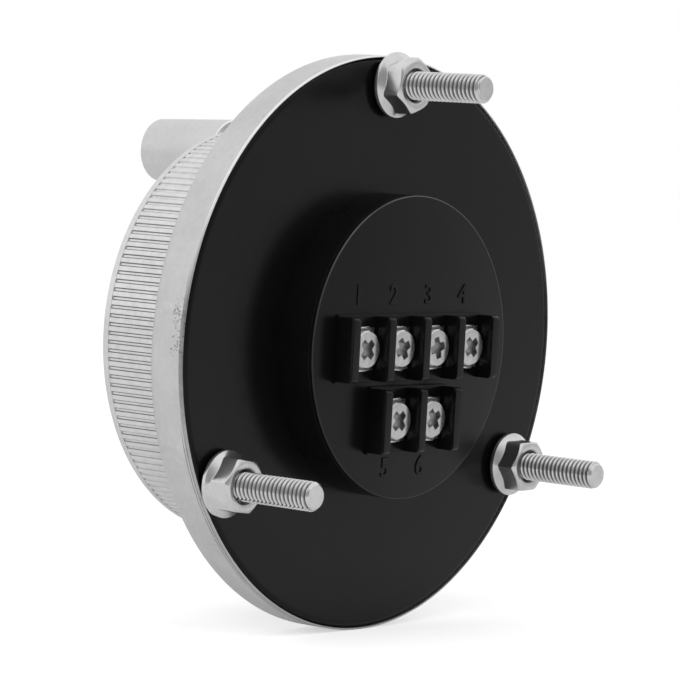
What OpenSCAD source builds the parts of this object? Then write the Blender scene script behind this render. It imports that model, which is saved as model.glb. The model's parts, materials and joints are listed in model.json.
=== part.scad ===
// Panel-mounted manual pulse generator: a crank wheel on a ball-bearing shaft,
// a magnetic detent, an optical code disc and screw terminals at the back.
// Millimetres. +Y points out of the back (towards the studs), -Y out of the
// front (towards the crank handle) and +Z up. The origin is on the shaft axis
// in the rear seat face, which touches the panel.

/* [Flange] */
// Outside diameter of the flange
flange_d = 80; // [78:0.5:86]
// Thickness of the flange, from the rear seat face to its front face
flange_t = 6.3; // [6:0.1:8]
// Radius of the rounded front edge of the flange
flange_round = 1.6; // [0.6:0.1:2.2]
// Radial width of the solid rim of the flange
rim_w = 8; // [7.5:0.1:8.5]
// Thickness of the flange's front web
web_t = 2; // [1.6:0.1:2.4]
// Wall of the tube that holds the bearings
hub_wall = 2.8; // [1.5:0.1:4]

/* [Rear cover] */
// Thickness of the rear cover plate
cover_t = 1.5; // [1:0.1:1.8]
// Radial width of the flange lip round the cover plate
lip_w = 0.25; // [0.2:0.05:0.6]
// Radius of the cover plate's rounded edge
cover_round = 0.6; // [0.3:0.1:0.8]
// Diameter of the round boss on the cover
boss_d = 42; // [41:0.5:46]
// Height of the boss with its lid, above the seat face
boss_h = 6.2; // [5.9:0.1:9]
// Wall of the boss
boss_wall = 1.6; // [1.2:0.1:2]
// Thickness of the lid that carries the terminals
lid_t = 0.65; // [0.5:0.05:1]

/* [Studs and nuts] */
// Diameter of the mounting studs
stud_d = 4; // [3:0.5:5]
// Distance of the studs' axes inside the flange's edge
stud_inset = 4; // [3.5:0.1:4.7]
// Number of studs
stud_count = 3; // [2:1:6]
// Height of the stud tips above the seat face
stud_h = 16.7; // [10:0.1:25]
// Pitch of the studs' thread
thread_pitch = 0.7; // [0.6:0.05:0.8]
// Width across the flats of a nut
nut_af = 7; // [6.5:0.1:7.5]
// Diameter of a nut's flange
nut_flange_d = 9.1; // [8.6:0.1:9.6]
// Height of a nut with its flange
nut_h = 4.4; // [3.5:0.05:6]
// How far a nut stands off the seat face
nut_gap = 0.5; // [0:0.1:1.5]
// Thickness of the rim of a nut's flange
nut_flange_t = 0.85; // [0.4:0.05:1.2]

/* [Terminals] */
// Distance between neighbouring terminals
terminal_pitch = 7.62; // [7.4:0.01:7.7]
// Thickness of a barrier between two terminals
barrier_t = 1.35; // [1:0.05:1.4]
// Height of the barriers above the lid
barrier_h = 3.4; // [3:0.1:6]
// Length of a barrier
barrier_l = 8.8; // [8.2:0.1:9.2]
// Height of the slab under the terminals
slab_h = 0.5; // [0.3:0.1:1]
// How far a slab reaches past its barriers at each end
slab_over = 0.25; // [0:0.05:0.3]
// Sideways place of the terminal rows' centre
rows_x = 0.64; // [-2:0.1:2]
// Height of the upper row above the shaft axis
upper_z = 0.1; // [-1:0.1:1]
// Distance between the two rows
row_step = 9.9; // [9.85:0.05:10.5]
// Diameter of a terminal screw's head
terminal_head_d = 5.2; // [4.6:0.1:5.4]
// Height of a terminal screw's head
terminal_head_h = 0.9; // [0.8:0.05:2]
// Thread diameter of a terminal screw
terminal_screw_d = 3; // [2.5:0.1:3.5]
// Length of a terminal screw under its head
terminal_screw_l = 2.9; // [2.2:0.1:3.1]
// Thickness of a clamp washer
clamp_t = 0.4; // [0.35:0.05:0.6]
// Thickness of a terminal plate
plate_t = 0.4; // [0.35:0.05:0.6]

/* [Bearings and shaft] */
// Diameter of the shaft
shaft_d = 8; // [7.5:0.1:8.2]
// Outside diameter of a bearing
bearing_d = 16; // [16:0.5:18]
// Width of a bearing
bearing_w = 4; // [3.6:0.1:4.4]
// Space between the two bearings
bearing_gap = 3.2; // [2:0.1:3.5]
// Diameter of a bearing ball
ball_d = 2; // [1.8:0.1:2.2]
// Number of balls in a bearing
ball_count = 11; // [7:1:12]

/* [Detent] */
// Gap between the pole pieces and the rim of the flange
pole_gap = 0.85; // [0.2:0.05:1.5]
// Thickness of the detent rotor and pole pieces
rotor_t = 1.2; // [0.8:0.1:1.3]
// Number of detent positions in a turn
detent_count = 100; // [50:10:120]
// Depth of a detent tooth
tooth_depth = 0.6; // [0.4:0.1:1]
// Air gap between the rotor and the pole pieces
air_gap = 0.35; // [0.3:0.05:0.5]
// Radial width of a pole piece
pole_w = 2.8; // [2:0.1:2.9]

/* [Encoder] */
// Radius of the code disc
code_r = 17; // [15:0.1:17.2]
// Thickness of the code disc
code_t = 0.3; // [0.2:0.05:0.4]
// Number of slots in the code disc
code_slots = 100; // [50:10:120]
// Height of the hub under the code disc
disc_hub_h = 3; // [2.9:0.05:3.2]
// Thickness of the circuit board
board_t = 1; // [0.8:0.1:1.1]
// Radius of the circuit board
board_r = 18.8; // [18.2:0.1:19]

/* [Dial] */
// Distance of the dial's edge inside the flange's edge
dial_inset = 4.5; // [3:0.1:5]
// Thickness of the dial ring
dial_t = 1; // [0.8:0.1:1.5]
// Gap between the flange and the turning dial
dial_gap = 0.3; // [0.3:0.05:0.8]

/* [Hand wheel] */
// Radius of the wheel over its ribs
wheel_r = 28.9; // [28.8:0.1:32]
// Height of the wheel
wheel_h = 17.4; // [17:0.1:20]
// Number of grip ribs round the wheel
rib_count = 150; // [100:1:180]
// Depth of the grooves between the ribs
rib_depth = 0.35; // [0.2:0.05:0.5]
// Share of the rib pitch that the rib itself takes
rib_share = 0.64; // [0.5:0.01:0.8]
// Width of the plain band at each end of the ribs
plain_band = 1.1; // [0.6:0.1:2]
// Wall of the wheel behind its web
wheel_wall = 4.2; // [3.8:0.1:4.4]
// Radial width of the flat land round the wheel's front
land_w = 6.9; // [6.9:0.1:8]
// Depth of the dish in the front of the wheel
dish_depth = 3.2; // [3:0.1:3.5]
// Thickness of the wheel's web
wheel_web_t = 2.5; // [2:0.1:2.7]

/* [Crank handle] */
// Distance of the handle's axis inside the wheel's rim
handle_inset = 3.75; // [3.6:0.05:3.9]
// Angle of the handle from straight up, towards +X
handle_clock = 7; // [-30:0.1:30]
// Diameter of the handle at its foot
handle_foot_d = 10; // [9.8:0.1:12]
// Diameter of the handle at its tip
handle_tip_d = 9; // [8.9:0.1:11]
// Length of the handle
handle_l = 14.3; // [12:0.1:25]
// Diameter of the shoulder that the handle turns on
shoulder_d = 4; // [3.4:0.1:4.2]

/* [Hidden] */
$fn = 96;
overlap = 0.5; // how far a cutter or a buried foot runs past its face

silver = [0.80, 0.80, 0.81];
black = [0.13, 0.13, 0.14];
steel = [0.72, 0.72, 0.74];
brass = [0.80, 0.66, 0.36];

// Fits and clearances
run_fit = 0.05;      // radial clearance of a running fit
loose_fit = 0.1;     // radial clearance of a part that is only placed
stud_clear = 0.2;    // radial clearance of a stud in the cover
side_clear = 0.8;    // clearance between turning and fixed faces inside
play = 0.1;          // end play of the handle
turn_gap = 0.3;      // least gap between handle and screw faces

// Flange
flange_r = flange_d / 2;
rim_in = flange_r - rim_w;
front_y = -flange_t;
web_y = front_y + web_t;
seat_chamfer = 0.15;
index_w = 1.6;       // width of the index mark on the flange
index_depth = 0.2;

// Rear cover
cover_r = flange_r - lip_w - loose_fit;
boss_r = boss_d / 2;
boss_in = boss_r - boss_wall;
lid_y = boss_h - lid_t;
spigot_w = 1.4;      // width of the ring that locates the lid
spigot_h = 0.65;
edge = 0.15;         // small edge break on moulded parts

// Bearings, from the web towards the front
bearing_r = bearing_d / 2;
shaft_r = shaft_d / 2;
rear_bearing_y = web_y - bearing_w;
front_bearing_y = rear_bearing_y - bearing_gap - bearing_w;
hub_y = front_bearing_y;
hub_r = bearing_r + hub_wall;
ball_r = ball_d / 2;
ball_path = (bearing_r + shaft_r) / 2;
race_depth = 0.2;    // how deep the balls sit in each ring
race_r = ball_r + run_fit;
inner_ring_r = ball_path - ball_r + race_depth;
outer_ring_r = ball_path + ball_r - race_depth;
cage_w = 2.6;
cage_gap = 0.35;     // radial gap between the cage and each ring
shoulder_w = 1;      // ledge in the hub between the bearings

// Shaft stack, from the web towards the back
collar_t = 0.7;
rotor_y = web_y + collar_t;
disc_hub_y = rotor_y + rotor_t;
code_y = disc_hub_y + disc_hub_h;
clip_y = code_y + code_t;
clip_t = 0.6;
clip_groove = 0.3;
clip_w = 1.6;
clip_mouth = 2.4;
clip_lug_r = 0.9;
clip_hole_r = 0.4;
shaft_tail = 0.7;
shaft_end_y = clip_y + clip_t + shaft_tail;
disc_hub_r = 6.5;
tooth_share = 0.45;
pole_out = rim_in - pole_gap;
pole_in = pole_out - pole_w;
rotor_r = pole_in - air_gap;
pole_teeth = 22;
window_r = 5;        // holes that lighten the detent rotor
magnet_inset = 0.3;

// Circuit board and sensor
board_y = shaft_end_y + side_clear;
board_back_y = board_y + board_t;
post_r = 1.9;
post_reach = 16.2;
post_angles = [45, 135, 262];
board_screw_r = 1;
board_head_r = 1.8;
board_head_h = 1.1;
slot_w = 0.45;
slot_l = 2.4;
slot_edge = 0.6;     // web left between the slots and the disc's edge
slot_in = code_r - slot_edge - slot_l;
fork_gap = 0.4;      // clearance between the code disc and the fork
fork_w = 10;
fork_lip = 1.2;      // how far the fork reaches inside the slots
fork_back = 1.5;     // how far the fork reaches outside the disc
fork_in = slot_in - fork_lip;
fork_out = code_r + fork_back;
fork_jaw = 1.4;
lamp_skin = 0.3;     // thickness of the fork behind the lamp
fork_y0 = code_y - fork_gap;
fork_y1 = clip_y + fork_gap;
lamp_r = 1.2;
sensor_w = 5;
mask_t = 0.15;
mask_w = 6;
sensor_t = 1;
slot_mid = slot_in + slot_l / 2;
slit_count = 5;
screw_slot_w = 0.5;  // driver slot of the small screws

// Chip and capacitors on the board
chip_l = 8.6;
chip_h = 1.3;
chip_w = 3.8;
chip_z = -8.5;
chip_lift = 0.1;
leg_count = 7;
leg_pitch = 1.27;
leg_w = 0.4;
leg_t = 0.2;
leg_l = 0.9;
leg_drop = 0.3;
leg_bury = 0.1;
capacitor_l = 2;
capacitor_h = 1.2;
capacitor_w = 1.25;
capacitor_x = 10;
capacitor_z = 4.6;

// Terminals
slab_y = boss_h + slab_h;
plate_y = slab_y + plate_t;
clamp_y = plate_y + clamp_t;
head_y = clamp_y + terminal_head_h;
terminal_screw_r = terminal_screw_d / 2;
bay_w = terminal_pitch - barrier_t;
clamp_w = bay_w - 0.7;
clamp_l = clamp_w + 0.5;
plate_w = clamp_w - 0.1;   // the plates just hide under the washers
plate_l = clamp_l - 0.3;
clamp_turns = [2, -3, 3, -2, 3, -3];
recess_turns = [45, 28, 15, 40, 45, 33];
recess_l = 3.3;
recess_w = 0.95;
recess_depth = 0.65;
head_bevel = 0.15;
tail_w = 1;
tail_t = 0.6;
tail_back = 0.6;     // how far a tail shows past the board
tail_drop = plate_l / 2 - tail_t / 2 - loose_fit;
lower_z = upper_z - row_step;
upper_bays = 4;
lower_bays = 2;
// [x, z] of each terminal, the upper row first
terminals = concat(
    [for (i = [0:upper_bays - 1]) [rows_x + (upper_bays / 2 - 0.5 - i) * terminal_pitch, upper_z]],
    [for (i = [0:lower_bays - 1]) [rows_x + (lower_bays / 2 - 0.5 - i) * terminal_pitch, lower_z]]
);

// Studs and nuts
stud_r = stud_d / 2;
shank_r = stud_r - 0.325 * thread_pitch; // the shank stops at the thread's pitch line
stud_reach = flange_r - stud_inset;
stud_root_y = front_y + 0.9;
stud_chamfer = 0.45;
nut_turns = [38, -1, 3];     // each nut stops at its own angle
nut_sink = 0.8;              // radial size of the thread's countersink
nut_top_y = nut_gap + nut_h;
thread_y = nut_top_y + 0.3;  // the full thread starts just beyond the nut
nut_corner_r = nut_af / sqrt(3);
nut_cone_h = 0.6;            // rise of the conical flange above its rim
nut_foot = 0.3;              // bevel under the rim of the flange

// Dial and wheel
dial_r = flange_r - dial_inset;
dial_back_y = front_y - dial_gap;
dial_front_y = dial_back_y - dial_t;
dial_in = hub_r + 1.2;
dial_chamfer = 0.3;
wheel_front_y = dial_front_y - wheel_h;
band_step = 0.05;    // how far the plain bands stand proud of the ribs
rib_tip = wheel_r - band_step;
rib_root = wheel_r - rib_depth;
wheel_core = rib_root - 0.1;
cavity_r = wheel_r - rib_depth - wheel_wall - 0.05;
web_front_y = wheel_front_y + dish_depth;
web_back_y = web_front_y + wheel_web_t;
dish_r = wheel_r - land_w;
dish_draft = 1.6;
wheel_hub_r = 9;
front_hub_r = 8.6;
cap_seat_y = wheel_front_y + 1;
screw_seat_y = web_front_y + 0.2;
shaft_front_y = screw_seat_y + 0.2;
flat_depth = 0.5;    // flat on the shaft's front end
wheel_chamfer = 0.3;
dial_screw_reach = (cavity_r + rib_root) / 2;
dial_screw_r = 1;
dial_head_r = 1.8;
dial_screw_l = 6;
dial_screw_angles = [60, 180, 300];

// Screw, washer and cap in the middle of the wheel
wheel_screw_r = 2;
wheel_screw_l = 8;
wheel_head_r = 3.5;
wheel_head_h = 1.5;
washer_t = 0.7;
washer_r = 4.8;
pocket_r = 5.2;
cap_r = 7.6;
cap_t = 0.8;
cap_ring_h = 0.6;
cap_ring_w = 0.9;

// Crank handle
handle_reach = wheel_r - handle_inset;
handle_x = handle_reach * sin(handle_clock);
handle_z = handle_reach * cos(handle_clock);
handle_washer_t = 0.3;
handle_washer_r = 3.4;
handle_foot_y = wheel_front_y - handle_washer_t - play;
handle_tip_y = handle_foot_y - handle_l;
handle_foot_r = handle_foot_d / 2;
handle_tip_r = handle_tip_d / 2;
handle_edge = 0.35;
shoulder_r = shoulder_d / 2;
handle_thread_r = 1.5;
handle_thread_l = 7;
handle_head_r = 3.2;
handle_head_h = 1.8;
plug_r = 3.5;
plug_t = 0.8;
plug_inset = 0.2;
handle_head_y = handle_tip_y + plug_inset + plug_t + turn_gap + handle_head_h;
handle_ledge_y = handle_head_y + play;
handle_boss_r = 3.2;

// ---------------------------------------------------------------- helpers

// Turns a profile of [radius, y] round the Y axis
module turned() {
    rotate([-90, 0, 0]) rotate_extrude() children();
}

// A round bar along Y between two planes
module rod(r, y0, y1) {
    translate([0, y0, 0]) rotate([-90, 0, 0]) cylinder(r = r, h = y1 - y0);
}

// A cone along Y between two planes
module cone(r0, r1, y0, y1) {
    translate([0, y0, 0]) rotate([-90, 0, 0]) cylinder(r1 = r0, r2 = r1, h = y1 - y0);
}

// A plain ring along Y
module ring(r_out, r_in, y0, y1) {
    difference() {
        rod(r_out, y0, y1);
        rod(r_in, y0 - overlap, y1 + overlap);
    }
}

// A flat outline in X and Z, given a thickness along Y
module plate(y0, y1) {
    translate([0, y1, 0]) rotate([90, 0, 0]) linear_extrude(y1 - y0) children();
}

// Moves a child out from the axis, at an angle from straight up towards +X
module at_clock(reach, clock) {
    translate([reach * sin(clock), 0, reach * cos(clock)]) children();
}

// Moves a child to the crank handle's axis
module at_handle() {
    translate([handle_x, 0, handle_z]) children();
}

// Puts a child at each stud
module at_studs() {
    for (i = [0:stud_count - 1]) at_clock(stud_reach, -i * 360 / stud_count) children();
}

function polar(r, a) = [r * cos(a), r * sin(a)];

// Corner points of square teeth: count in a full turn, of which first to last are made
function teeth(r_base, r_tip, count, share, first, last) = [
    for (i = [first:last], k = [0:3])
        let (step = 360 / count, half = share * step / 2)
        polar(k == 1 || k == 2 ? r_tip : r_base, i * step + (k < 2 ? -half : half))
];

// ----------------------------------------------------------- fixed pieces

// What is cut off a section to round its outer corner; side is 1 at the back, -1 at the front
module outer_corner(r, y, round, side) {
    difference() {
        translate([r - round, side > 0 ? y - round : y - overlap]) square(round + overlap);
        translate([r - round, y - side * round]) circle(r = round);
    }
}

module flange_section() {
    difference() {
        polygon([
            [bearing_r, hub_y], [hub_r - wheel_chamfer, hub_y], [hub_r, hub_y + wheel_chamfer],
            [hub_r, front_y], [flange_r, front_y], [flange_r, -seat_chamfer],
            [flange_r - seat_chamfer, 0], [flange_r - lip_w, 0], [flange_r - lip_w, -cover_t],
            [rim_in, -cover_t], [rim_in, web_y], [bearing_r, web_y],
            [bearing_r, rear_bearing_y], [bearing_r - shoulder_w, rear_bearing_y],
            [bearing_r - shoulder_w, front_bearing_y + bearing_w],
            [bearing_r, front_bearing_y + bearing_w]
        ]);
        outer_corner(flange_r, front_y, flange_round, -1);
    }
}

module flange_housing() {
    index_reach = (dial_r + flange_r - flange_round) / 2;
    color(silver) difference() {
        turned() flange_section();
        at_studs() rod(shank_r, stud_root_y, overlap);
        // index mark opposite the dial's zero
        plate(front_y - overlap, front_y + index_depth)
            translate([0, index_reach])
            polygon([[0, -index_w / 2], [index_w / 2, index_w / 2], [-index_w / 2, index_w / 2]]);
    }
}

module rear_cover() {
    color(black) difference() {
        turned() difference() {
            polygon([
                [boss_in, -cover_t], [cover_r, -cover_t], [cover_r, 0],
                [boss_r, 0], [boss_r, lid_y], [boss_in, lid_y]
            ]);
            outer_corner(cover_r, 0, cover_round, 1);
        }
        at_studs() rod(stud_r + stud_clear, -cover_t - overlap, overlap);
    }
}

// One barrier wall with rounded outer corners, centred on x
module barrier(x, z) {
    corner = 0.6;
    foot_y = boss_h - lid_t / 2;
    top_y = boss_h + barrier_h;
    translate([x - barrier_t / 2, 0, z]) rotate([90, 0, 90]) linear_extrude(barrier_t) union() {
        translate([foot_y, -barrier_l / 2]) square([top_y - corner - foot_y, barrier_l]);
        translate([foot_y, -barrier_l / 2 + corner]) square([top_y - foot_y, barrier_l - 2 * corner]);
        for (s = [-1, 1]) translate([top_y - corner, s * (barrier_l / 2 - corner)]) circle(r = corner);
    }
}

// The slab and barriers of one row of terminals
module terminal_row(bays, z) {
    row_w = bays * terminal_pitch + barrier_t;
    slab_l = barrier_l + 2 * slab_over;
    foot_y = boss_h - lid_t / 2;
    translate([rows_x - row_w / 2, foot_y, z - slab_l / 2])
        cube([row_w, slab_y - foot_y, slab_l]);
    for (i = [0:bays]) barrier(rows_x + (i - bays / 2) * terminal_pitch, z);
}

module terminal_lid() {
    color(black) difference() {
        union() {
            turned() polygon([
                [0, lid_y], [boss_r, lid_y], [boss_r, boss_h - edge], [boss_r - edge, boss_h], [0, boss_h]
            ]);
            ring(boss_in - loose_fit, boss_in - loose_fit - spigot_w, lid_y - spigot_h, lid_y + lid_t / 2);
            terminal_row(upper_bays, upper_z);
            terminal_row(lower_bays, lower_z);
            for (a = post_angles) at_clock(post_reach, a) rod(post_r, board_back_y, lid_y + lid_t / 2);
        }
        for (t = terminals) translate([t[0], 0, t[1]]) {
            rod(terminal_screw_r + loose_fit, lid_y - overlap, slab_y + overlap);
            translate([-tail_w / 2 - loose_fit, lid_y - overlap, -tail_drop - tail_t / 2 - loose_fit])
                cube([tail_w + 2 * loose_fit, slab_y - lid_y + 2 * overlap, tail_t + 2 * loose_fit]);
        }
        for (a = post_angles) at_clock(post_reach, a) rod(board_screw_r, board_back_y - overlap, lid_y);
    }
}

module terminal_plates() {
    color(brass) for (t = terminals) translate([t[0], 0, t[1]]) difference() {
        union() {
            translate([-plate_w / 2, slab_y, -plate_l / 2]) cube([plate_w, plate_t, plate_l]);
            translate([-tail_w / 2, board_y - tail_back, -tail_drop - tail_t / 2])
                cube([tail_w, slab_y + plate_t / 2 - board_y + tail_back, tail_t]);
        }
        rod(terminal_screw_r, slab_y - overlap, plate_y + overlap);
    }
}

module clamp_washers() {
    color(steel) for (i = [0:len(terminals) - 1])
        translate([terminals[i][0], 0, terminals[i][1]]) rotate([0, clamp_turns[i], 0]) difference() {
            translate([-clamp_w / 2, plate_y, -clamp_l / 2]) cube([clamp_w, clamp_t, clamp_l]);
            rod(terminal_screw_r + loose_fit, plate_y - overlap, clamp_y + overlap);
        }
}

// Cross recess cutter, its floor at y0 and its mouth past y1
module cross_recess(y0, y1) {
    for (a = [0, 90]) rotate([0, a, 0])
        translate([-recess_l / 2, y0, -recess_w / 2]) cube([recess_l, y1 - y0 + overlap, recess_w]);
}

module terminal_screw(turn) {
    head_r = terminal_head_d / 2;
    difference() {
        union() {
            turned() polygon([
                [0, clamp_y], [head_r, clamp_y], [head_r, head_y - head_bevel],
                [head_r - head_bevel, head_y], [0, head_y]
            ]);
            rod(terminal_screw_r, clamp_y - terminal_screw_l, clamp_y + overlap);
        }
        rotate([0, turn, 0]) cross_recess(head_y - recess_depth, head_y);
    }
}

module terminal_screws() {
    color(steel) for (i = [0:len(terminals) - 1])
        translate([terminals[i][0], 0, terminals[i][1]]) terminal_screw(recess_turns[i]);
}

module mounting_studs() {
    color(steel) at_studs() turned() polygon([
        [0, stud_root_y], [shank_r - stud_chamfer, stud_root_y], [shank_r, stud_root_y + stud_chamfer],
        [shank_r, thread_y], [stud_r, thread_y], [stud_r, stud_h - stud_chamfer],
        [stud_r - stud_chamfer, stud_h], [0, stud_h]
    ]);
}

module flange_nut() {
    cone_top_y = nut_flange_t + nut_cone_h;
    corner_drop = (nut_corner_r - nut_af / 2) * 0.6;
    difference() {
        union() {
            turned() polygon([
                [0, 0], [nut_flange_d / 2 - nut_foot, 0], [nut_flange_d / 2, nut_foot],
                [nut_flange_d / 2, nut_flange_t],
                [nut_af / 2 * 0.97, cone_top_y], [0, cone_top_y]
            ]);
            intersection() {
                translate([0, nut_flange_t / 2, 0]) rotate([-90, 0, 0])
                    cylinder(r = nut_corner_r, h = nut_h - nut_flange_t / 2, $fn = 6);
                turned() polygon([
                    [0, 0], [nut_corner_r, 0], [nut_corner_r, nut_h - corner_drop],
                    [nut_af / 2 - 0.1, nut_h], [0, nut_h]
                ]);
            }
        }
        rod(shank_r, -overlap, nut_h + overlap);
        cone(shank_r, shank_r + nut_sink, nut_h - nut_sink, nut_h);
    }
}

module flange_nuts() {
    color(steel) for (i = [0:stud_count - 1])
        at_clock(stud_reach, -i * 360 / stud_count)
        translate([0, nut_gap, 0]) rotate([0, -nut_turns[i % 3], 0]) flange_nut();
}

// Fixed arc with teeth on its inner edge, centred straight up
module pole_outline() {
    half = (pole_teeth - 1) / 2;
    step = 360 / detent_count;
    first = round(90 / step - half);
    last = first + pole_teeth - 1;
    polygon(concat(
        teeth(pole_in + tooth_depth, pole_in, detent_count, tooth_share, first, last),
        [for (i = [last:-1:first]) polar(pole_out, i * step)]
    ));
}

module detent_poles() {
    color(steel) plate(rotor_y, rotor_y + rotor_t) {
        pole_outline();
        mirror([0, 1]) pole_outline();
    }
}

module detent_magnets() {
    span = (pole_teeth / 2 - 2) * 360 / detent_count;
    magnet_in = pole_in + tooth_depth + magnet_inset;
    color([0.25, 0.25, 0.27]) for (s = [1, -1]) intersection() {
        ring(pole_out - magnet_inset, magnet_in, web_y, rotor_y);
        plate(web_y - overlap, rotor_y + overlap) polygon([
            [0, 0], [pole_out * tan(span), s * pole_out], [pole_out * tan(span), s * 2 * pole_out],
            [-pole_out * tan(span), s * 2 * pole_out], [-pole_out * tan(span), s * pole_out]
        ]);
    }
}

module outer_ring(y) {
    color(steel) turned() difference() {
        translate([outer_ring_r, y]) square([bearing_r - outer_ring_r, bearing_w]);
        translate([ball_path, y + bearing_w / 2]) circle(r = race_r);
    }
}

module front_outer_ring() { outer_ring(front_bearing_y); }

module rear_outer_ring() { outer_ring(rear_bearing_y); }

module sensor_housing() {
    jaw_y = fork_y0 - fork_jaw;
    color(black) difference() {
        translate([-fork_w / 2, jaw_y, fork_in]) cube([fork_w, board_y - jaw_y, fork_out - fork_in]);
        // slot that the code disc turns in
        translate([-fork_w / 2 - overlap, fork_y0, fork_in - overlap])
            cube([fork_w + 2 * overlap, fork_y1 - fork_y0, code_r + fork_gap - fork_in + overlap]);
        // lamp seat
        translate([0, 0, slot_mid]) rod(lamp_r, jaw_y + lamp_skin, fork_y0 + overlap);
        // sensor pocket behind the mask
        translate([-mask_w / 2, fork_y1 - overlap, slot_in - edge])
            cube([mask_w, mask_t + overlap, slot_l + 2 * edge]);
        translate([-sensor_w / 2, fork_y1, slot_in]) cube([sensor_w, mask_t + sensor_t, slot_l]);
    }
}

module emitter_lamp() {
    color([0.55, 0.60, 0.70]) translate([0, 0, slot_mid])
        rod(lamp_r, fork_y0 - fork_jaw + lamp_skin, fork_y0);
}

module photo_sensor() {
    color([0.10, 0.10, 0.10]) translate([-sensor_w / 2, fork_y1 + mask_t, slot_in])
        cube([sensor_w, sensor_t, slot_l]);
}

module slit_mask() {
    color([0.30, 0.30, 0.32]) difference() {
        translate([-mask_w / 2, fork_y1, slot_in - edge]) cube([mask_w, mask_t, slot_l + 2 * edge]);
        for (i = [0:slit_count - 1])
            translate([(i - slit_count / 2 + 0.25) * 2 * slot_w, fork_y1 - overlap, slot_in + edge])
            cube([slot_w, mask_t + 2 * overlap, slot_l - 2 * edge]);
    }
}

module circuit_board() {
    color([0.10, 0.36, 0.20]) difference() {
        rod(board_r, board_y, board_back_y);
        for (t = terminals) translate([t[0], 0, t[1]])
            translate([-tail_w / 2, board_y - overlap, -tail_drop - tail_t / 2])
            cube([tail_w, board_t + 2 * overlap, tail_t]);
        for (a = post_angles) at_clock(post_reach, a)
            rod(board_screw_r + loose_fit, board_y - overlap, board_back_y + overlap);
    }
}

module board_screws() {
    color(steel) for (a = post_angles) at_clock(post_reach, a) {
        rod(board_screw_r, board_y - overlap, lid_y - loose_fit);
        difference() {
            rod(board_head_r, board_y - board_head_h, board_y);
            translate([-board_head_r, board_y - board_head_h - overlap, -screw_slot_w / 2])
                cube([2 * board_head_r, overlap + board_head_h / 2, screw_slot_w]);
        }
    }
}

// One bent leg, on the side of the chip that s gives
module chip_leg(s) {
    foot_z = chip_z + s * chip_w / 2 + (s > 0 ? 0 : -leg_l);
    rise_z = chip_z + s * chip_w / 2 + (s > 0 ? -leg_bury : leg_bury - leg_drop);
    rise = chip_lift + chip_h / 2;
    translate([-leg_w / 2, board_y - leg_t, foot_z]) cube([leg_w, leg_t, leg_l]);
    translate([-leg_w / 2, board_y - rise, rise_z]) cube([leg_w, rise, leg_drop]);
}

module driver_chip() {
    color([0.08, 0.08, 0.09])
        translate([-chip_l / 2, board_y - chip_lift - chip_h, chip_z - chip_w / 2])
        cube([chip_l, chip_h, chip_w]);
    color(steel) for (i = [0:leg_count - 1], s = [-1, 1])
        translate([(i - (leg_count - 1) / 2) * leg_pitch, 0, 0]) chip_leg(s);
}

module board_capacitors() {
    color([0.62, 0.50, 0.36]) for (s = [-1, 1])
        translate([s * capacitor_x - capacitor_l / 2, board_y - capacitor_h, capacitor_z - capacitor_w / 2])
        cube([capacitor_l, capacitor_h, capacitor_w]);
}

// --------------------------------------------------------- turning pieces

module grip_ribs() {
    plate(wheel_front_y + plain_band, dial_front_y - plain_band) difference() {
        polygon(teeth(rib_root, rib_tip, rib_count, rib_share, 0, rib_count - 1));
        circle(r = wheel_core - 1);
    }
}

module wheel_section() {
    polygon([
        [0, screw_seat_y], [pocket_r, screw_seat_y], [pocket_r, cap_seat_y],
        [front_hub_r - wheel_chamfer, cap_seat_y], [front_hub_r, cap_seat_y + wheel_chamfer],
        [front_hub_r, web_front_y], [dish_r - dish_draft, web_front_y], [dish_r, wheel_front_y],
        [wheel_r - wheel_chamfer, wheel_front_y], [wheel_r, wheel_front_y + wheel_chamfer],
        [wheel_r, wheel_front_y + plain_band], [wheel_core, wheel_front_y + plain_band],
        [wheel_core, dial_front_y - plain_band], [wheel_r, dial_front_y - plain_band],
        [wheel_r, dial_front_y - wheel_chamfer], [wheel_r - wheel_chamfer, dial_front_y],
        [cavity_r, dial_front_y], [cavity_r, web_back_y], [wheel_hub_r, web_back_y],
        [wheel_hub_r, hub_y - side_clear], [inner_ring_r, hub_y - side_clear],
        [inner_ring_r, hub_y], [0, hub_y]
    ]);
}

module handwheel() {
    color(silver) difference() {
        union() {
            turned() wheel_section();
            grip_ribs();
            at_handle() rod(handle_boss_r, wheel_front_y + overlap, wheel_front_y + handle_thread_l + 1.5);
        }
        // seat of the shaft, with its flat
        difference() {
            rod(shaft_r, screw_seat_y - overlap, hub_y + overlap);
            translate([-shaft_r, screw_seat_y - 2 * overlap, shaft_r - flat_depth])
                cube([2 * shaft_r, hub_y - screw_seat_y + 4 * overlap, shaft_r]);
        }
        at_handle() rod(handle_thread_r, wheel_front_y - overlap, wheel_front_y + handle_thread_l);
        for (a = dial_screw_angles) at_clock(dial_screw_reach, a)
            rod(dial_screw_r, dial_front_y - dial_screw_l, dial_front_y + overlap);
    }
}

module dial_ring() {
    color([0.15, 0.15, 0.16]) difference() {
        turned() polygon([
            [dial_in, dial_front_y], [dial_r - dial_chamfer, dial_front_y],
            [dial_r, dial_front_y + dial_chamfer], [dial_r, dial_back_y], [dial_in, dial_back_y]
        ]);
        for (a = dial_screw_angles) at_clock(dial_screw_reach, a) {
            rod(dial_screw_r, dial_front_y - overlap, dial_back_y + overlap);
            cone(dial_screw_r, dial_head_r, dial_back_y - dial_head_r + dial_screw_r, dial_back_y);
        }
    }
}

module dial_screws() {
    color(steel) for (a = dial_screw_angles) at_clock(dial_screw_reach, a) difference() {
        union() {
            rod(dial_screw_r, dial_front_y - dial_screw_l + loose_fit, dial_back_y);
            cone(dial_screw_r, dial_head_r, dial_back_y - dial_head_r + dial_screw_r, dial_back_y);
        }
        translate([-dial_head_r, dial_back_y - dial_t / 3, -screw_slot_w / 2])
            cube([2 * dial_head_r, dial_t, screw_slot_w]);
    }
}

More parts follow.
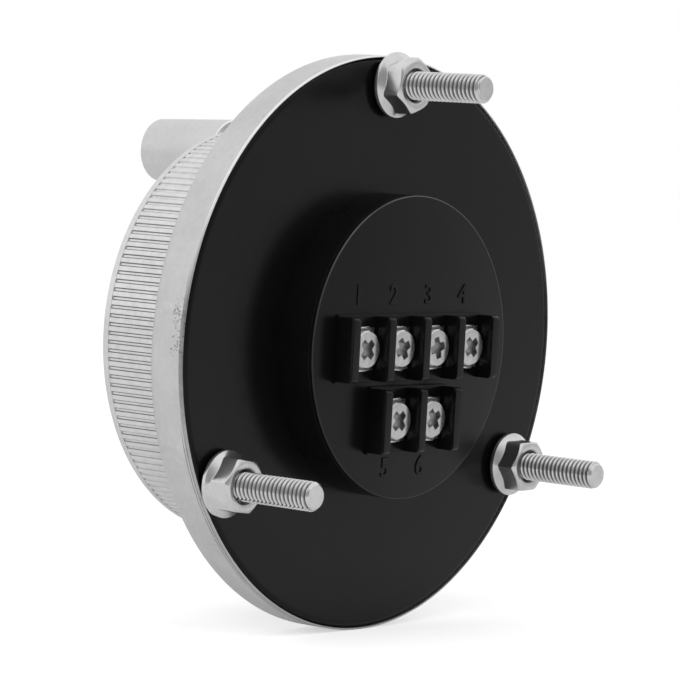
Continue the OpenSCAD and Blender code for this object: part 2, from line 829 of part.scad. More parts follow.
module wheel_washer() {
    color(steel) ring(washer_r, wheel_screw_r + loose_fit, screw_seat_y - washer_t, screw_seat_y);
}

module wheel_screw() {
    head_front_y = screw_seat_y - washer_t - wheel_head_h;
    socket_r = 1.45;
    color(steel) difference() {
        union() {
            turned() polygon([
                [0, head_front_y], [wheel_head_r - wheel_chamfer, head_front_y],
                [wheel_head_r, head_front_y + wheel_chamfer], [wheel_head_r, screw_seat_y - washer_t],
                [0, screw_seat_y - washer_t]
            ]);
            rod(wheel_screw_r, screw_seat_y - washer_t - overlap, screw_seat_y - washer_t + wheel_screw_l);
        }
        translate([0, head_front_y - overlap, 0]) rotate([-90, 0, 0])
            cylinder(r = socket_r, h = overlap + wheel_head_h * 0.7, $fn = 6);
    }
}

module hub_cap() {
    color(silver) union() {
        turned() polygon([
            [0, cap_seat_y - cap_t], [cap_r - wheel_chamfer, cap_seat_y - cap_t],
            [cap_r, cap_seat_y - cap_t + wheel_chamfer], [cap_r, cap_seat_y], [0, cap_seat_y]
        ]);
        ring(pocket_r - loose_fit, pocket_r - loose_fit - cap_ring_w,
            cap_seat_y - cap_t / 2, cap_seat_y + cap_ring_h);
    }
}

module main_shaft() {
    color(steel) difference() {
        turned() polygon([
            [0, shaft_front_y], [shaft_r - wheel_chamfer, shaft_front_y],
            [shaft_r, shaft_front_y + wheel_chamfer], [shaft_r, web_y], [inner_ring_r, web_y],
            [inner_ring_r, rotor_y], [shaft_r, rotor_y], [shaft_r, clip_y],
            [shaft_r - clip_groove, clip_y], [shaft_r - clip_groove, clip_y + clip_t],
            [shaft_r, clip_y + clip_t], [shaft_r, shaft_end_y - wheel_chamfer],
            [shaft_r - wheel_chamfer, shaft_end_y], [0, shaft_end_y]
        ]);
        rod(wheel_screw_r, shaft_front_y - overlap, screw_seat_y - washer_t + wheel_screw_l + 1);
        // flat that the wheel locks on
        translate([-shaft_r, shaft_front_y - overlap, shaft_r - flat_depth])
            cube([2 * shaft_r, hub_y - shaft_front_y + overlap, shaft_r]);
    }
}

module inner_ring(y) {
    color(steel) turned() difference() {
        translate([shaft_r, y]) square([inner_ring_r - shaft_r, bearing_w]);
        translate([ball_path, y + bearing_w / 2]) circle(r = race_r);
    }
}

module front_inner_ring() { inner_ring(front_bearing_y); }

module rear_inner_ring() { inner_ring(rear_bearing_y); }

module bearing_spacer() {
    color(steel) ring(inner_ring_r, shaft_r, front_bearing_y + bearing_w, rear_bearing_y);
}

// Puts a child at each ball of the bearing that starts at y
module at_balls(y) {
    for (i = [0:ball_count - 1]) at_clock(ball_path, i * 360 / ball_count)
        translate([0, y + bearing_w / 2, 0]) children();
}

module balls(y) {
    color([0.82, 0.82, 0.84]) at_balls(y) sphere(r = ball_r, $fn = 32);
}

module front_balls() { balls(front_bearing_y); }

module rear_balls() { balls(rear_bearing_y); }

module cage(y) {
    color(brass) difference() {
        ring(outer_ring_r - cage_gap, inner_ring_r + cage_gap,
            y + (bearing_w - cage_w) / 2, y + (bearing_w + cage_w) / 2);
        for (i = [0:ball_count - 1]) rotate([0, i * 360 / ball_count, 0])
            translate([0, y + bearing_w / 2, inner_ring_r])
            cylinder(r = race_r, h = outer_ring_r - inner_ring_r);
    }
}

module front_cage() { cage(front_bearing_y); }

module rear_cage() { cage(rear_bearing_y); }

module detent_rotor() {
    color(steel) plate(rotor_y, rotor_y + rotor_t) difference() {
        polygon(teeth(rotor_r - tooth_depth, rotor_r, detent_count, tooth_share, 0, detent_count - 1));
        circle(r = shaft_r);
        for (i = [0:5]) rotate(i * 60 + 30) translate([(disc_hub_r + rotor_r) / 2, 0]) circle(r = window_r);
    }
}

module disc_hub() {
    color(brass) difference() {
        turned() polygon([
            [shaft_r, disc_hub_y], [disc_hub_r, disc_hub_y], [disc_hub_r, disc_hub_y + 1],
            [disc_hub_r - 0.8, disc_hub_y + 1], [disc_hub_r - 0.8, code_y - 0.8],
            [disc_hub_r, code_y - 0.8], [disc_hub_r, code_y], [shaft_r, code_y]
        ]);
    }
}

module code_disc() {
    color([0.60, 0.62, 0.66]) plate(code_y, clip_y) difference() {
        circle(r = code_r);
        circle(r = shaft_r);
        for (i = [0:code_slots - 1]) rotate(i * 360 / code_slots)
            translate([slot_in, -slot_w / 2]) square([slot_l, slot_w]);
    }
}

module hub_clip() {
    clip_in = shaft_r - clip_groove;
    clip_out = shaft_r + clip_w;
    lug_x = clip_mouth / 2 + clip_lug_r;
    color(steel) plate(clip_y, clip_y + clip_t) difference() {
        union() {
            circle(r = clip_out);
            for (s = [-1, 1]) translate([s * lug_x, clip_out]) circle(r = clip_lug_r);
        }
        circle(r = clip_in);
        translate([-clip_mouth / 2, 0]) square([clip_mouth, 2 * clip_out]);
        for (s = [-1, 1]) translate([s * lug_x, clip_out]) circle(r = clip_hole_r);
    }
}

// ---------------------------------------------------------- crank handle

module handle_washer() {
    color(brass) at_handle()
        ring(handle_washer_r, shoulder_r + loose_fit, wheel_front_y - handle_washer_t, wheel_front_y);
}

module handle_screw() {
    slot = 0.9;
    color(steel) at_handle() difference() {
        union() {
            rod(handle_thread_r, wheel_front_y - overlap, wheel_front_y + handle_thread_l - loose_fit);
            rod(shoulder_r, handle_head_y - overlap, wheel_front_y);
            rod(handle_head_r, handle_head_y - handle_head_h, handle_head_y);
        }
        translate([-handle_head_r, handle_head_y - handle_head_h - overlap, -slot / 2])
            cube([2 * handle_head_r, overlap + handle_head_h / 2, slot]);
    }
}

module crank_handle() {
    taper = (handle_foot_r - handle_tip_r) / handle_l;
    color(silver) at_handle() turned() polygon([
        [shoulder_r + run_fit, handle_foot_y], [handle_foot_r - handle_edge, handle_foot_y],
        [handle_foot_r - taper * handle_edge, handle_foot_y - handle_edge],
        [handle_tip_r + taper * handle_edge, handle_tip_y + handle_edge],
        [handle_tip_r - 0.3 * handle_edge, handle_tip_y + 0.3 * handle_edge],
        [handle_tip_r - handle_edge, handle_tip_y], [plug_r, handle_tip_y],
        [plug_r, handle_ledge_y], [shoulder_r + run_fit, handle_ledge_y]
    ]);
}

module handle_plug() {
    color(silver) at_handle() rod(plug_r, handle_tip_y + plug_inset, handle_tip_y + plug_inset + plug_t);
}

flange_housing();
rear_cover();
terminal_lid();
terminal_plates();
clamp_washers();
terminal_screws();
mounting_studs();
flange_nuts();
handwheel();
dial_ring();
dial_screws();
hub_cap();
wheel_screw();
wheel_washer();
crank_handle();
handle_screw();
handle_washer();
handle_plug();
main_shaft();
front_outer_ring();
front_inner_ring();
front_balls();
front_cage();
rear_outer_ring();
rear_inner_ring();
rear_balls();
rear_cage();
bearing_spacer();
detent_rotor();
detent_poles();
detent_magnets();
disc_hub();
code_disc();
hub_clip();
sensor_housing();
emitter_lamp();
photo_sensor();
slit_mask();
circuit_board();
board_screws();
driver_chip();
board_capacitors();
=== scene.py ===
"""Dresses a panel-mounted manual pulse generator: crank wheel, dial, flange, studs and terminals.

Every length in the classes is in millimetres; meshes are written in metres, in the frame of the
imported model: +Y out of the back, -Y towards the crank handle, +Z up.
"""

import json
import logging
import math
from collections.abc import Callable, Sequence
from dataclasses import dataclass
from enum import Enum

import bmesh
import bpy
from mathutils import Matrix, Vector

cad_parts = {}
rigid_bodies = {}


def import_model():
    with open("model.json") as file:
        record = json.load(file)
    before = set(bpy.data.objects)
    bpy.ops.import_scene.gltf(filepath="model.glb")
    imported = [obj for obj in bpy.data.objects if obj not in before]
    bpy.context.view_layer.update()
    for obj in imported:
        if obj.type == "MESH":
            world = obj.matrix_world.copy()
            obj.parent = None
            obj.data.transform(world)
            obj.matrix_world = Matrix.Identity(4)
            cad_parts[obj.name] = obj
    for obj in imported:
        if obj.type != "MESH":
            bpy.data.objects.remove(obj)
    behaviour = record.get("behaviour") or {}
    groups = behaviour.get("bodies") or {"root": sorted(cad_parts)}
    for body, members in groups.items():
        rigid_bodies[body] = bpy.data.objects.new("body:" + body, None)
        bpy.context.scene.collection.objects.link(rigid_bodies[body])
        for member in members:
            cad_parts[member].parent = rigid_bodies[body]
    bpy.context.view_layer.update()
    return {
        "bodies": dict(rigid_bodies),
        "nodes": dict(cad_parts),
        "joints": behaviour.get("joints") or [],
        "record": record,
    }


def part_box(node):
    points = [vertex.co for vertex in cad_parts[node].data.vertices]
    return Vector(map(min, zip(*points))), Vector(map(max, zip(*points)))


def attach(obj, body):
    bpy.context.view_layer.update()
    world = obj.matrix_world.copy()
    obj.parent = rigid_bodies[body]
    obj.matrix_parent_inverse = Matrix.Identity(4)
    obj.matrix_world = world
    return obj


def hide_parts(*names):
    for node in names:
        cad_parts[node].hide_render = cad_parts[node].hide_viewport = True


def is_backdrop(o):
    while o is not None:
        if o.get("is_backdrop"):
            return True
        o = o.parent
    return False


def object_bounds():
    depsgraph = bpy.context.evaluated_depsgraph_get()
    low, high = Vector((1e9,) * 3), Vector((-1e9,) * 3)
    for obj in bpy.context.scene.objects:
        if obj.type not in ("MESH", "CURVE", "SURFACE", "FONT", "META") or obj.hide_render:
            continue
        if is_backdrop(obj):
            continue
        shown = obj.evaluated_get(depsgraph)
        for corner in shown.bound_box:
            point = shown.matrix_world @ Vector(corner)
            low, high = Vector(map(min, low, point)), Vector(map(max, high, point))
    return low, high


LOG = logging.getLogger("pulse_generator")
MM = 0.001

Point = tuple[float, float]
Ring = list[Point]
Colour = tuple[float, float, float]
Value = bpy.types.NodeSocket | float

# Sizes that several pieces, or a piece and its finish, have in common, in millimetres.
STUD_REACH = 36.0
BOSS_RADIUS = 21.0
LID_FACE = 6.2
RIB_TIP = 28.85
RIB_ROOT = 28.70
TERMINAL_PITCH = 7.62
TERMINAL_CENTRE = 0.64

# How many terminals each row has, and its height z.
TERMINAL_ROWS: tuple[tuple[int, float], ...] = ((4, 0.1), (2, -9.8))


# ------------------------------------------------------------------ mesh tools


class Along(Enum):
    """Direction in which a flat outline is given its thickness."""

    X = "x"
    Y = "y"


def corner_arc(before: Point, at: Point, after: Point, radius: float, steps: int) -> list[Point]:
    """Replaces a corner of an outline by a tangent arc.

    Args:
        before: The outline's point before the corner.
        at: The corner.
        after: The outline's point after the corner.
        radius: Radius of the arc; 0 keeps the corner.
        steps: Number of pieces in the arc.

    Returns:
        The points that take the corner's place.
    """
    if radius <= 0:
        return [at]
    corner = Vector(at)
    u = (Vector(before) - corner).normalized()
    v = (Vector(after) - corner).normalized()
    half = u.angle(v) / 2
    reach = radius / math.tan(half)
    centre = corner + (u + v).normalized() * (radius / math.sin(half))
    start = corner + u * reach - centre
    end = corner + v * reach - centre
    turn = start.angle_signed(end)
    points = []
    for i in range(steps + 1):
        arm = start.copy()
        arm.rotate(Matrix.Rotation(-turn * i / steps, 2))
        points.append((centre.x + arm.x, centre.y + arm.y))
    return points


def rounded(outline: Sequence[tuple[float, ...]], steps: int = 4) -> list[Point]:
    """Rounds the corners of a closed outline.

    Args:
        outline: Corners as (a, b) or (a, b, radius).
        steps: Number of pieces in each arc.

    Returns:
        The outline's points with arcs in place of rounded corners.
    """
    points: list[Point] = []
    for i, corner in enumerate(outline):
        before, after = outline[i - 1], outline[(i + 1) % len(outline)]
        radius = corner[2] if len(corner) > 2 else 0.0
        points += corner_arc(before[:2], corner[:2], after[:2], radius, steps)
    return points


def new_object(name: str, data: bpy.types.ID) -> bpy.types.Object:
    """Puts a mesh, curve, lamp or camera in the scene.

    Args:
        name: Name of the new object.
        data: What the object shows.

    Returns:
        The new object.
    """
    obj = bpy.data.objects.new(name, data)
    bpy.context.scene.collection.objects.link(obj)
    return obj


def smooth(mesh: bpy.types.Mesh, crease: float) -> None:
    """Shades a mesh smoothly, with edges over the crease angle in degrees kept sharp."""
    mesh.shade_smooth()
    mesh.set_sharp_from_angle(angle=math.radians(crease))


def finish_mesh(name: str, bm: bmesh.types.BMesh, crease: float = 32.0) -> bpy.types.Object:
    """Turns a bmesh in millimetres into a smooth-shaded object in metres.

    Args:
        name: Name of the new object.
        bm: The mesh; it is freed.
        crease: Angle in degrees over which an edge stays sharp.

    Returns:
        The new object, linked into the scene.
    """
    bmesh.ops.remove_doubles(bm, verts=bm.verts, dist=1e-5)
    bmesh.ops.scale(bm, vec=(MM, MM, MM), verts=bm.verts)
    bmesh.ops.recalc_face_normals(bm, faces=bm.faces)
    mesh = bpy.data.meshes.new(name)
    bm.to_mesh(mesh)
    bm.free()
    smooth(mesh, crease)
    return new_object(name, mesh)


def loft(bm: bmesh.types.BMesh, rings: Sequence[Ring], angles: Sequence[float], closed: bool) -> None:
    """Skins rings of (radius, y) round the Y axis.

    Args:
        bm: The mesh to add to.
        rings: One ring per row, with a (radius, y) for each angle; radius 0 all round is a point.
        angles: Angles in radians, from straight up towards +X, over a full turn.
        closed: Whether the last ring joins the first.
    """
    rows = []
    for ring in rings:
        if max(r for r, _ in ring) < 1e-6:
            rows.append([bm.verts.new((0.0, ring[0][1], 0.0))])
        else:
            spots = [(r * math.sin(a), y, r * math.cos(a)) for (r, y), a in zip(ring, angles)]
            rows.append([bm.verts.new(spot) for spot in spots])
    pairs = list(zip(rows, rows[1:])) + ([(rows[-1], rows[0])] if closed else [])
    for low, high in pairs:
        count = max(len(low), len(high))
        if count == 1:
            continue
        for i in range(count):
            j = (i + 1) % count
            loop = [low[i % len(low)], low[j % len(low)], high[j % len(high)], high[i % len(high)]]
            loop = [v for k, v in enumerate(loop) if v not in loop[:k]]
            if len(loop) > 2:
                bm.faces.new(loop)


def turn_angles(count: int) -> list[float]:
    """Equal angles over a full turn."""
    return [2 * math.pi * i / count for i in range(count)]


def turned(
    name: str, outline: Sequence[tuple[float, ...]], count: int = 192, steps: int = 4
) -> bpy.types.Object:
    """Turns an outline round the Y axis.

    Args:
        name: Name of the new object.
        outline: Closed outline as (radius, y) or (radius, y, edge radius).
        count: Number of segments round the axis.
        steps: Number of pieces in each edge's arc.

    Returns:
        The turned object.
    """
    bm = bmesh.new()
    rings = [[point] * count for point in rounded(outline, steps)]
    loft(bm, rings, turn_angles(count), closed=True)
    return finish_mesh(name, bm)


def slab(
    bm: bmesh.types.BMesh,
    outline: Sequence[Point],
    low: float,
    high: float,
    along: Along,
    bevel: float = 0.0,
) -> None:
    """Adds a flat outline with a thickness and softened edges.

    Args:
        bm: The mesh to add to.
        outline: Points as (x, z) along Y, or (y, z) along X.
        low: Lower plane.
        high: Upper plane.
        along: Direction of the thickness.
        bevel: Width of the softened edges round both faces.
    """

    def place(point: Point, level: float) -> tuple[float, float, float]:
        """Puts a point of the outline on a plane."""
        a, b = point
        return (a, level, b) if along is Along.Y else (level, a, b)

    bottom = [bm.verts.new(place(p, low)) for p in outline]
    top = [bm.verts.new(place(p, high)) for p in outline]
    faces = [bm.faces.new(bottom), bm.faces.new(list(reversed(top)))]
    count = len(outline)
    for i in range(count):
        j = (i + 1) % count
        faces.append(bm.faces.new((bottom[i], bottom[j], top[j], top[i])))
    if bevel > 0:
        edges = [e for f in faces[:2] for e in f.edges]
        bmesh.ops.bevel(bm, geom=edges, offset=bevel, segments=3, profile=0.5, affect="EDGES")


def rectangle(x0: float, x1: float, z0: float, z1: float, radius: float = 0.0) -> list[Point]:
    """Outline of a rectangle with rounded corners."""
    return rounded([(x0, z0, radius), (x1, z0, radius), (x1, z1, radius), (x0, z1, radius)])


def carve(body: bpy.types.Object, tools: Sequence[bpy.types.Object], crease: float = 32.0) -> None:
    """Cuts tools out of a body and removes the tools.

    Args:
        body: The object to cut.
        tools: The cutters, which are deleted.
        crease: Angle in degrees over which an edge of the result stays sharp.
    """
    for tool in tools:
        step = body.modifiers.new("cut", "BOOLEAN")
        step.operation, step.solver, step.object = "DIFFERENCE", "EXACT", tool
    graph = bpy.context.evaluated_depsgraph_get()
    mesh = bpy.data.meshes.new_from_object(body.evaluated_get(graph))
    old = body.data
    body.modifiers.clear()
    body.data = mesh
    bpy.data.meshes.remove(old)
    for tool in tools:
        bpy.data.objects.remove(tool)
    smooth(mesh, crease)


def shift(obj: bpy.types.Object, place: Point, y: float = 0.0, turn: float = 0.0) -> bpy.types.Object:
    """Turns an object's mesh about its own Y axis, then moves it.

    Args:
        obj: The object, made round the Y axis.
        place: Where its axis goes, as (x, z).
        y: How far it moves along the axis.
        turn: Angle in degrees.

    Returns:
        The object.
    """
    x, z = place
    move = Matrix.Translation(Vector((x, y, z)) * MM)
    obj.data.transform(move @ Matrix.Rotation(math.radians(turn), 4, "Y"))
    return obj


def clock_place(reach: float, angle: float) -> Point:
    """Place as (x, z) at a reach and at an angle in radians, from straight up towards +X."""
    return reach * math.sin(angle), reach * math.cos(angle)


def drill(radius: float, low: float, high: float, place: Point, count: int = 40) -> bpy.types.Object:
    """Makes a cutter for a round hole along Y.

    Args:
        radius: Radius of the hole.
        low: Its lower end.
        high: Its upper end.
        place: Where its axis is, as (x, z).
        count: Number of segments round it.

    Returns:
        The cutter.
    """
    outline = [(0.0, low), (radius, low), (radius, high), (0.0, high)]
    return shift(turned("drill", outline, count), place)


def join(name: str, parts: Sequence[bpy.types.Object], crease: float = 32.0) -> bpy.types.Object:
    """Joins objects that share a material into one.

    Args:
        name: Name of the joined object.
        parts: Objects to join; they are deleted.
        crease: Angle in degrees over which an edge stays sharp.

    Returns:
        The joined object.
    """
    bm = bmesh.new()
    for part in parts:
        bm.from_mesh(part.data)
        bpy.data.objects.remove(part)
    mesh = bpy.data.meshes.new(name)
    bm.to_mesh(mesh)
    bm.free()
    smooth(mesh, crease)
    return new_object(name, mesh)


def figure(text: str, height: float, rise: float, edge: float, frame: Matrix) -> bpy.types.Object:
    """Makes a raised number.

    Args:
        text: The digits.
        height: Height of a digit.
        rise: How far it stands up, with the same depth sunk below.
        edge: Width of its softened edge.
        frame: Matrix in metres whose X runs along the number, Y up it and Z out of it.

    Returns:
        The number as a mesh object.
    """
    size_per_height = 1.43
    curve = bpy.data.curves.new("figure", "FONT")
    curve.body, curve.size = text, height * size_per_height * MM
    curve.align_x, curve.align_y = "CENTER", "CENTER"
    curve.extrude, curve.bevel_depth = (rise - edge) * MM, edge * MM
    curve.resolution_u = 3
    source = new_object("figure_curve", curve)
    graph = bpy.context.evaluated_depsgraph_get()
    mesh = bpy.data.meshes.new_from_object(source.evaluated_get(graph))
    bpy.data.objects.remove(source)
    mesh.transform(frame)
    mesh.materials.clear()
    return new_object("figure_" + text, mesh)


def axes_frame(right: Vector, up: Vector, at: Vector) -> Matrix:
    """Matrix of a flat thing that faces a direction.

    Args:
        right: The thing's own X.
        up: Its own Y.
        at: Its place in millimetres.

    Returns:
        The matrix, in metres.
    """
    out = right.cross(up)
    matrix = Matrix((right, up, out)).transposed().to_4x4()
    matrix.translation = at * MM
    return matrix


# ------------------------------------------------------------- shader groups


class Effect(Enum):
    """Shader node group that several finishes share."""

    MOTTLE = "mottle"
    GRAIN = "grain"
    AXIS_DISTANCE = "axis_distance"
    LATHE_LINES = "lathe_lines"
    DRAWN_LINES = "drawn_lines"
    SPECKS = "specks"
    EDGE_WEAR = "edge_wear"
    BOX_MASK = "box_mask"
    DIAL_SCALE = "dial_scale"


class Wiring:
    """Short ways to add and link nodes in one tree."""

    def __init__(self, tree: bpy.types.NodeTree) -> None:
        """Keeps the tree; its input, output and place are made on first use."""
        self.tree = tree
        self._in: bpy.types.Node | None = None
        self._out: bpy.types.Node | None = None
        self._spot: bpy.types.NodeSocket | None = None

    def node(self, kind: str) -> bpy.types.Node:
        """Adds a node of a kind."""
        return self.tree.nodes.new(kind)

    def link(self, source: Value, target: bpy.types.NodeSocket) -> None:
        """Feeds a socket.

        Args:
            source: A socket to link, or a number to write.
            target: The socket that takes it.
        """
        if isinstance(source, bpy.types.NodeSocket):
            self.tree.links.new(source, target)
        else:
            target.default_value = source

    def input(self, name: str) -> bpy.types.NodeSocket:
        """Finds an input of the group.

        Args:
            name: Name of the input.

        Returns:
            The socket that gives its value inside the group.
        """
        if self._in is None:
            self._in = self.node("NodeGroupInput")
        return self._in.outputs[name]

    def output(self, name: str, source: Value) -> None:
        """Feeds an output of the group.

        Args:
            name: Name of the output.
            source: What it puts out.
        """
        if self._out is None:
            self._out = self.node("NodeGroupOutput")
        self.link(source, self._out.inputs[name])

    def place(self) -> bpy.types.NodeSocket:
        """Finds the object's own coordinates.

        Returns:
            The coordinates in metres.
        """
        if self._spot is None:
            self._spot = self.node("ShaderNodeTexCoord").outputs["Object"]
        return self._spot

    def pointiness(self) -> bpy.types.NodeSocket:
        """How far a point stands out as an edge."""
        return self.node("ShaderNodeNewGeometry").outputs["Pointiness"]

    def noise(self, spot: Value, scale: Value, detail: float, rough: float) -> bpy.types.NodeSocket:
        """Adds a noise.

        Args:
            spot: Where it is read.
            scale: Its scale per metre.
            detail: Number of finer layers.
            rough: How strong the finer layers are.

        Returns:
            The noise, 0 to 1.
        """
        n = self.node("ShaderNodeTexNoise")
        self.link(spot, n.inputs["Vector"])
        self.link(scale, n.inputs["Scale"])
        n.inputs["Detail"].default_value = detail
        n.inputs["Roughness"].default_value = rough
        return n.outputs["Fac"]

    def cells(self, spot: Value, scale: Value) -> tuple[bpy.types.NodeSocket, bpy.types.NodeSocket]:
        """Adds random points.

        Args:
            spot: Where they are read.
            scale: Their scale per metre.

        Returns:
            Distance to the nearest point, and that point's random colour.
        """
        n = self.node("ShaderNodeTexVoronoi")
        self.link(spot, n.inputs["Vector"])
        self.link(scale, n.inputs["Scale"])
        return n.outputs["Distance"], n.outputs["Color"]

    def grey(self, colour: Value) -> bpy.types.NodeSocket:
        """Takes one number from a colour.

        Args:
            colour: The colour.

        Returns:
            Its first channel.
        """
        n = self.node("ShaderNodeSeparateColor")
        self.link(colour, n.inputs["Color"])
        return n.outputs[0]

    def maths(self, operation: str, a: Value, b: Value = 0.0) -> bpy.types.NodeSocket:
        """Adds a calculation.

        Args:
            operation: Name of the Math node's operation.
            a: First value.
            b: Second value, where the operation has one.

        Returns:
            The result.
        """
        n = self.node("ShaderNodeMath")
        n.operation = operation
        self.link(a, n.inputs[0])
        self.link(b, n.inputs[1])
        return n.outputs[0]

    def times(self, first: Value, *others: Value) -> Value:
        """Multiplies values.

        Args:
            first: The first value.
            *others: What it is multiplied by, one after the other.

        Returns:
            The product.
        """
        product = first
        for value in others:
            product = self.maths("MULTIPLY", product, value)
        return product

    def away(self, value: Value, level: Value) -> bpy.types.NodeSocket:
        """How far a value is from a level, to either side."""
        return self.maths("ABSOLUTE", self.maths("SUBTRACT", value, level))

    def within(self, value: Value, low: float, high: float) -> Value:
        """1 where a value lies between two limits, 0 elsewhere."""
        return self.times(self.maths("GREATER_THAN", value, low), self.maths("LESS_THAN", value, high))

    def diagonal(self, a: Value, b: Value) -> bpy.types.NodeSocket:
        """Length of the diagonal across two sides."""
        return self.maths("SQRT", self.maths("ADD", self.times(a, a), self.times(b, b)))

    def split(self, vector: Value) -> tuple[bpy.types.NodeSocket, bpy.types.NodeSocket, bpy.types.NodeSocket]:
        """Takes a vector apart.

        Args:
            vector: The vector.

        Returns:
            Its three parts.
        """
        n = self.node("ShaderNodeSeparateXYZ")
        self.link(vector, n.inputs[0])
        return n.outputs[0], n.outputs[1], n.outputs[2]

    def merge(self, *parts: Value) -> bpy.types.NodeSocket:
        """Makes a vector.

        Args:
            *parts: Its three parts.

        Returns:
            The vector.
        """
        n = self.node("ShaderNodeCombineXYZ")
        for source, target in zip(parts, n.inputs):
            self.link(source, target)
        return n.outputs[0]

    def ramp(self, value: Value, low: Value, high: Value) -> bpy.types.NodeSocket:
        """Adds a smooth step from 0 to 1, which may also run downwards.

        Args:
            value: What is stepped.
            low: Where the step is 0.
            high: Where it is 1.

        Returns:
            The step.
        """
        n = self.node("ShaderNodeMapRange")
        n.interpolation_type = "SMOOTHSTEP"
        self.link(value, n.inputs["Value"])
        self.link(low, n.inputs["From Min"])
        self.link(high, n.inputs["From Max"])
        return n.outputs["Result"]

    def fade(self, value: Value, low: float, high: float) -> bpy.types.NodeSocket:
        """Smooth step over a length, with its two ends in millimetres."""
        return self.ramp(value, low * MM, high * MM)

    def span(self, value: Value, low: float, high: float) -> bpy.types.NodeSocket:
        """Spreads a value from 0 to 1 over a range.

        Args:
            value: The value.
            low: What 0 becomes.
            high: What 1 becomes.

        Returns:
            The spread value.
        """
        n = self.node("ShaderNodeMapRange")
        self.link(value, n.inputs["Value"])
        n.inputs["To Min"].default_value = low
        n.inputs["To Max"].default_value = high
        return n.outputs["Result"]

    def blend(self, share: Value, a: Value, b: Value) -> bpy.types.NodeSocket:
        """Mixes two values.

        Args:
            share: How much of the second value there is.
            a: First value.
            b: Second value.

        Returns:
            The mixed value.
        """
        n = self.node("ShaderNodeMix")
        for source, target in zip((share, a, b), (n.inputs[0], n.inputs[2], n.inputs[3])):
            self.link(source, target)
        return n.outputs[0]

    def tint(self, share: Value, a: Value | Colour, b: Value | Colour) -> bpy.types.NodeSocket:
        """Mixes two colours.

        Args:
            share: How much of the second colour there is.
            a: First colour.
            b: Second colour.

        Returns:
            The mixed colour.
        """
        n = self.node("ShaderNodeMix")
        n.data_type = "RGBA"
        self.link(share, n.inputs[0])
        for source, target in ((a, n.inputs[6]), (b, n.inputs[7])):
            self.link((*source, 1.0) if isinstance(source, tuple) else source, target)
        return n.outputs[2]

    def bump(self, height: Value, strength: float, depth: float) -> bpy.types.NodeSocket:
        """Turns a height into a relief.

        Args:
            height: The height, 0 to 1.
            strength: How strong the relief is.
            depth: Its depth in metres.

        Returns:
            The relief's normal.
        """
        n = self.node("ShaderNodeBump")
        n.inputs["Strength"].default_value = strength
        n.inputs["Distance"].default_value = depth
        self.link(height, n.inputs["Height"])
        return n.outputs["Normal"]


